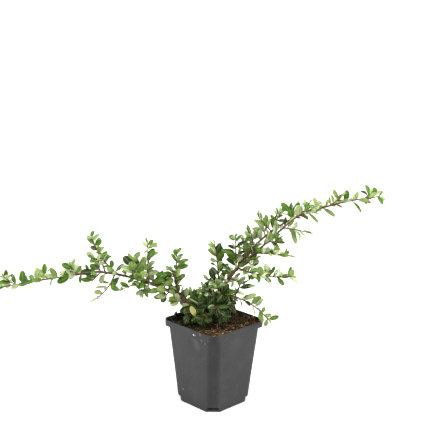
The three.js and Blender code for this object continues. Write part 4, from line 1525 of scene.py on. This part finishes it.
def crumb_kind(graph, draw):
    """Raises the draw, and so darkens the crumbs, towards the left and the back, and in patches."""
    place = graph.add("GeometryNodeInputPosition")
    parts = graph.split(place)
    patches = graph.noise(place, 90.0, 2.0) - 0.5
    return draw + ((parts["Y"] - parts["X"] * 0.9) * 1500.0 + patches * 160.0)


class SHRUB_OT_soil(bpy.types.Operator):
    """Fill the pot with soil and strew crumbs of peat and bark over it"""

    bl_idname = "shrub.soil"
    bl_label = "Soil"
    bl_options = {"REGISTER", "UNDO"}

    def execute(self, context):
        soil = context.scene.shrub_soil
        mesh = soil_mesh(context.scene.shrub_pot, soil)
        fill = new_object("soil_fill", mesh)
        crumbs = new_object("soil_crumbs", mesh.copy())
        peat, bark = soil.peat, soil.bark
        surface = soil_material("peat", peat, scaled(bark, 0.7), drift=True)
        run_tree(fill, soil_tree(), Relief=soil.relief, Soil=surface)
        finish_piece(fill, "soil", "soil")
        kinds = (
            (1000, "black", peat, scaled(soil.moss, 0.7)),
            (125, "mossy", peat, soil.moss),
            (72, "dark", peat, scaled(bark, 0.35)),
            (44, "brown", scaled(bark, 0.4), bark),
            (12, "bark", scaled(bark, 0.8), scaled(bark, 1.9)),
            (-22, "pale", scaled(bark, 2.0), soil.straw),
        )
        materials = [(share, soil_material(name + " crumbs", *colours)) for share, name, *colours in kinds]
        graph = crumb_tree(materials)
        run_tree(crumbs, graph, Density=soil.crumbs * 10000.0, Size=soil.crumb, Seed=soil.seed)
        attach(crumbs, BODY)
        return {"FINISHED"}


# Materials


def new_material(name, tint, roughness, specular):
    """A material whose shader holds its constants, and its graph. The tint is what shows in the viewport."""
    material = bpy.data.materials.new(name)
    material.use_nodes = True
    material.diffuse_color = (*tint, 1)
    shader = material.node_tree.nodes["Principled BSDF"]
    shader.inputs["Base Color"].default_value = (*tint, 1)
    shader.inputs["Roughness"].default_value = roughness
    shader.inputs["Specular IOR Level"].default_value = specular
    return material, Graph(material.node_tree)


def dress(graph, tint, height, distance, strength, **more):
    """Links a material's colour and its relief to its shader, and what else is given."""
    shader = graph.tree.nodes["Principled BSDF"]
    bump = graph.add("ShaderNodeBump", Height=height, Distance=distance, Strength=strength)
    for key, value in {"Base Color": tint, "Normal": bump, **more}.items():
        graph.set(shader.inputs[key], value)


def object_place(graph):
    return graph.add("ShaderNodeTexCoord")["Object"]


def effect(name, inputs, outputs):
    """Makes an effect into one group that all materials share. The group is written at its first use."""

    def wrap(write):
        def use(graph, **values):
            tree = bpy.data.node_groups.get(name)
            if not tree:
                inner, given, result = new_tree(name, "ShaderNodeTree", inputs, outputs)
                for label, value in write(inner, given).items():
                    inner.set(result[label], value)
                tree = inner.tree
            return graph.add("ShaderNodeGroup", node_tree=tree, **values)

        return use

    return wrap


def masks(*names):
    return dict.fromkeys(names, "Float")


@effect("soft mottling", {"Place": "Vector", "Scale": "Float", "Contrast": "Float"}, masks("Mask"))
def mottling(graph, given):
    """Soft blotches, from 0 to 1, at a scale for each metre."""
    centred = (graph.noise(given["Place"], given["Scale"], 3.0, 0.55) - 0.5) * given["Contrast"]
    return {"Mask": graph.math("ADD", centred, 0.5, use_clamp=True)}


@effect("leaf veins", {"Place": "Vector", "Pairs": "Float"}, masks("Midrib", "Veins", "Margin"))
def leaf_veins(graph, given):
    """Where the midrib and the side veins run, on the leaf's own map, and the margin, where the leaf materials
    paint a highlight.
    """
    parts = graph.split(given["Place"])
    aside = abs((parts["X"] - 0.5) * 2.0)
    wave = graph.math("FRACT", (parts["Y"] - aside * 0.22) * given["Pairs"])
    veins = graph.ramp(abs(wave - 0.5), 0.12, 0.02) * graph.ramp(aside, 0.95, 0.6)
    return {"Midrib": graph.ramp(aside, 0.15, 0.05), "Veins": veins, "Margin": graph.ramp(aside, 0.7, 1.0)}


@effect("bark grain", {"Place": "Vector", "Ridges": "Float"}, masks("Ridge", "Dots", "Bands"))
def bark_grain(graph, given):
    """Ridges along a stem and pale dots on it, in the stem's own unbent space."""
    place = given["Place"]
    cells = graph.add("ShaderNodeTexVoronoi", Vector=place, Scale=520.0)
    return {
        "Ridge": graph.noise(place * (1, 1, 0.2), given["Ridges"], 4.0, 0.6),
        "Dots": graph.ramp(cells["Distance"], 0.24, 0.12),
        "Bands": graph.noise(place * (0.2, 0.2, 1), 240.0, 2.0),
    }


def scaled(tint, factor):
    return tuple(min(1, channel * factor) for channel in tint)


def leaf_material(name, tint, roughness, glossy):
    material, graph = new_material("leaf " + name, tint, roughness, 0.15 if glossy else 0.1)
    veins = leaf_veins(graph, Place=graph.add("ShaderNodeUVMap", uv_map="blade"), Pairs=7.0)
    mottle = mottling(graph, Place=object_place(graph), Scale=150.0, Contrast=2.4)
    base = graph.mix(mottle, scaled(tint, 0.7), scaled(tint, 1.3))
    # The margin is lightened all round: a painted highlight along the leaf's edge.
    base = graph.mix(veins["Margin"] * 0.5, base, scaled(tint, 1.9))
    rib = [0.5 * channel + 0.5 * pale for channel, pale in zip(tint, (0.42, 0.45, 0.20))]
    base = graph.mix(veins["Midrib"] * (0.6 if glossy else 0.4), base, rib)
    base = graph.mix(veins["Veins"] * 0.25, base, scaled(tint, 1.6))
    height = (veins["Midrib"] * 0.7 + veins["Veins"] * 0.35) * (-1.0 if glossy else 1.0)
    dress(graph, base, height, 0.0002, 0.8)
    return material


def bark_material(name, tint, dots):
    material, graph = new_material(name, tint, 0.62, 0.12)
    place = graph.add("ShaderNodeAttribute", attribute_name="bark")["Vector"]
    grain = bark_grain(graph, Place=place, Ridges=900.0)
    base = graph.mix(graph.ramp(grain["Ridge"], 0.32, 0.66), scaled(tint, 0.5), scaled(tint, 1.45))
    base = graph.mix(graph.ramp(grain["Bands"], 0.45, 0.7) * 0.4, base, scaled(tint, 0.55))
    base = graph.mix(grain["Dots"] * dots, base, (0.33, 0.26, 0.2))
    dress(graph, base, grain["Ridge"], 0.0003, 0.7)
    return material


# Marks on the pot, and three broad pale bluish patches of painted sheen beside the front corner, in
# millimetres: where, how wide, how strong, and the colour.
POT_MARKS_AND_SHEEN = (
    ((-23.2, -38.6, 94.9), 1.2, 1.0, (0.62, 0.60, 0.53)),
    ((-21.6, -40.2, 94.6), 0.9, 0.9, (0.34, 0.32, 0.26)),
    ((-15.7, -46.1, 98.0), 2.6, 0.5, (0.11, 0.085, 0.05)),
    ((-9.3, -52.5, 99.0), 2.4, 0.7, (0.025, 0.018, 0.012)),
    ((-14.5, -44.7, 90.8), 2.6, 0.45, (0.13, 0.105, 0.07)),
    ((-9.9, -49.0, 88.2), 1.6, 0.5, (0.16, 0.14, 0.09)),
    # Two broad pale bluish patches on the left wall beside the front corner: painted sheen.
    ((-21.0, -37.6, 86.5), 5.5, 0.13, (0.10, 0.105, 0.125)),
    ((-19.0, -38.9, 80.5), 7.5, 0.14, (0.10, 0.105, 0.125)),
    ((-35.4, -14.2, 17.1), 1.1, 0.6, (0.30, 0.29, 0.26)),
    ((-31.8, -18.3, 20.5), 2.8, 0.5, (0.020, 0.018, 0.014)),
    ((-43.3, -6.9, 21.5), 1.2, 0.6, (0.22, 0.21, 0.18)),
    # A broad pale patch on the right wall beside the front corner: painted sheen.
    ((25.6, -32.5, 81.6), 11.0, 0.1, (0.08, 0.08, 0.088)),
)


def plastic_material(tint):
    material, graph = new_material("moulded plastic", tint, 0.42, 0.1)
    place = object_place(graph)
    mottle = mottling(graph, Place=place, Scale=38.0, Contrast=1.8)
    base = graph.mix(mottle, scaled(tint, 0.84), scaled(tint, 1.2))
    specks = mottling(graph, Place=place, Scale=900.0, Contrast=5.0)
    patches = mottling(graph, Place=place, Scale=60.0, Contrast=4.0)
    dust = graph.ramp(specks, 0.8, 1.0) * graph.ramp(patches, 0.55, 0.9)
    base = graph.mix(dust * 0.12, base, (0.17, 0.16, 0.14))
    ragged = (graph.noise(place, 700.0, 2.0) - 0.5) * 0.9
    # Each mark is mixed into the colour: specks, soil and scuffs, and the broad pale patches, which are
    # painted sheen.
    for centre, width, strength, mark_and_sheen_tint in POT_MARKS_AND_SHEEN:
        offset = place - tuple(c * MM for c in centre)
        away = graph.math("LENGTH", offset)["Value"] / (width * MM)
        base = graph.mix(graph.ramp(away + ragged, 1.0, 0.35) * strength, base, mark_and_sheen_tint)
    base = graph.mix(lip_dirt(graph, place), base, (0.028, 0.021, 0.014))
    dress(graph, base, graph.noise(place, 2600.0, 2.0), 0.00004, 0.5, Roughness=mottle * 0.14 + 0.38)
    return material


def lip_dirt(graph, place):
    """Soil smeared over the top of the rim, most of it at the back."""
    parts = graph.split(place)
    amount = graph.ramp(graph.noise(place, 110.0, 3.0) + parts["Y"] * 9.0, 0.42, 0.62)
    return amount * graph.ramp(parts["Z"], 0.0978, 0.0992)


def soil_material(name, dark, light, drift=False):
    """Mottled soil. With a drift, it turns from brown in front to black at the left and the back."""
    material, graph = new_material(name, dark, 0.9, 0.02)
    place = object_place(graph)
    mottle = mottling(graph, Place=place, Scale=420.0, Contrast=3.0)
    if drift:
        parts = graph.split(place)
        mottle = mottle * graph.ramp(parts["X"] * 0.9 - parts["Y"], -0.025, 0.03)
    base = graph.mix(mottle, scaled(dark, 0.8), scaled(light, 1.0))
    dress(graph, base, graph.noise(place, 1400.0, 4.0, 0.7), 0.0005, 0.9)
    return material


# Studio

# The camera's place, how far it looks down and leans, and its focal length in pixels of a frame of this width.
CAMERA_PLACE = (-0.00236, -1.1240, 0.5202)
CAMERA_DOWN = math.radians(14.575)
CAMERA_ROLL = math.radians(0.8)
FOCAL_PIXELS = 1017
FRAME_PIXELS = 427
LAMPS_AIM = Vector((0, 0, 0.12))


class SHRUB_OT_studio(bpy.types.Operator):
    """Set up the pale floor, the soft lights and the camera"""

    bl_idname = "shrub.studio"
    bl_label = "Studio"
    bl_options = {"REGISTER", "UNDO"}

    def execute(self, context):
        studio = context.scene.shrub_studio
        self.make_floor(studio)
        self.make_sky(context, studio)
        self.make_lamp("top", "SUN", Vector((0.06, 0.15, -1)), energy=studio.top, angle=math.radians(60))
        for name, place in (("left_box", (-1.7, -0.05, 0.85)), ("right_box", (1.7, -0.05, 0.95))):
            aim = LAMPS_AIM - Vector(place)
            self.make_lamp(name, "AREA", aim, energy=studio.softbox, size=1.2).location = place
        self.make_camera(context)
        context.scene.view_settings.view_transform = "Standard"
        return {"FINISHED"}

    def make_floor(self, studio):
        built = bmesh.new()
        bmesh.ops.create_circle(built, cap_ends=True, segments=96, radius=30)
        mesh = built_mesh("floor", built)
        mesh.materials.append(new_material("floor", studio.floor, 0.9, 0.1)[0])
        new_object("floor", mesh)

    def make_sky(self, context, studio):
        """Even light from all round, with a brighter white where the sky itself is seen."""
        world = bpy.data.worlds.new("sky")
        world.use_nodes = True
        nodes, links = world.node_tree.nodes, world.node_tree.links
        lighting = nodes["Background"]
        backdrop = nodes.new("ShaderNodeBackground")
        for background, strength in ((lighting, studio.sky), (backdrop, studio.backdrop)):
            background.inputs["Color"].default_value = (1, 1, 1, 1)
            background.inputs["Strength"].default_value = strength
        seen = nodes.new("ShaderNodeLightPath").outputs["Is Camera Ray"]
        blend = nodes.new("ShaderNodeMixShader")
        for i, source in enumerate((seen, lighting.outputs[0], backdrop.outputs[0])):
            links.new(source, blend.inputs[i])
        links.new(blend.outputs[0], nodes["World Output"].inputs["Surface"])
        context.scene.world = world

    def make_lamp(self, name, kind, aim, **settings):
        light = bpy.data.lights.new(name, kind)
        for key, value in settings.items():
            setattr(light, key, value)
        lamp = new_object(name, light)
        lamp.rotation_euler = aim.to_track_quat("-Z", "Y").to_euler()
        return lamp

    def make_camera(self, context):
        data = bpy.data.cameras.new("camera")
        data.sensor_width = 36
        data.lens = FOCAL_PIXELS * data.sensor_width / FRAME_PIXELS
        data.clip_start = 0.05
        data.clip_end = 100
        camera = new_object("camera", data)
        tilt = Matrix.Rotation(math.radians(90) - CAMERA_DOWN, 4, "X")
        roll = Matrix.Rotation(CAMERA_ROLL, 4, "Z")
        camera.matrix_world = Matrix.Translation(CAMERA_PLACE) @ tilt @ roll
        context.scene.camera = camera


class SHRUB_PT_panel(bpy.types.Panel):
    """The sizes, the colours and the steps, in the sidebar"""

    bl_label = "Potted shrub"
    bl_idname = "SHRUB_PT_panel"
    bl_space_type = "VIEW_3D"
    bl_region_type = "UI"
    bl_category = "Shrub"

    def draw(self, context):
        for operator in OPERATORS:
            self.layout.operator(operator.bl_idname)
        for name, group in SETTINGS.items():
            box = self.layout.box()
            settings = getattr(context.scene, name)
            for key in group.__annotations__:
                box.prop(settings, key)


OPERATORS = (SHRUB_OT_pot, SHRUB_OT_soil, SHRUB_OT_wood, SHRUB_OT_foliage, SHRUB_OT_studio)


def register():
    for cls in (*SETTINGS.values(), *OPERATORS, SHRUB_PT_panel):
        bpy.utils.register_class(cls)
    for name, group in SETTINGS.items():
        setattr(bpy.types.Scene, name, PointerProperty(type=group))


def unregister():
    for name in SETTINGS:
        delattr(bpy.types.Scene, name)
    for cls in reversed((*SETTINGS.values(), *OPERATORS, SHRUB_PT_panel)):
        bpy.utils.unregister_class(cls)


def main():
    register()
    bpy.ops.shrub.pot()
    bpy.ops.shrub.soil()
    bpy.ops.shrub.wood()
    bpy.ops.shrub.foliage()
    bpy.ops.shrub.studio()


if __name__ == "__main__":
    main()
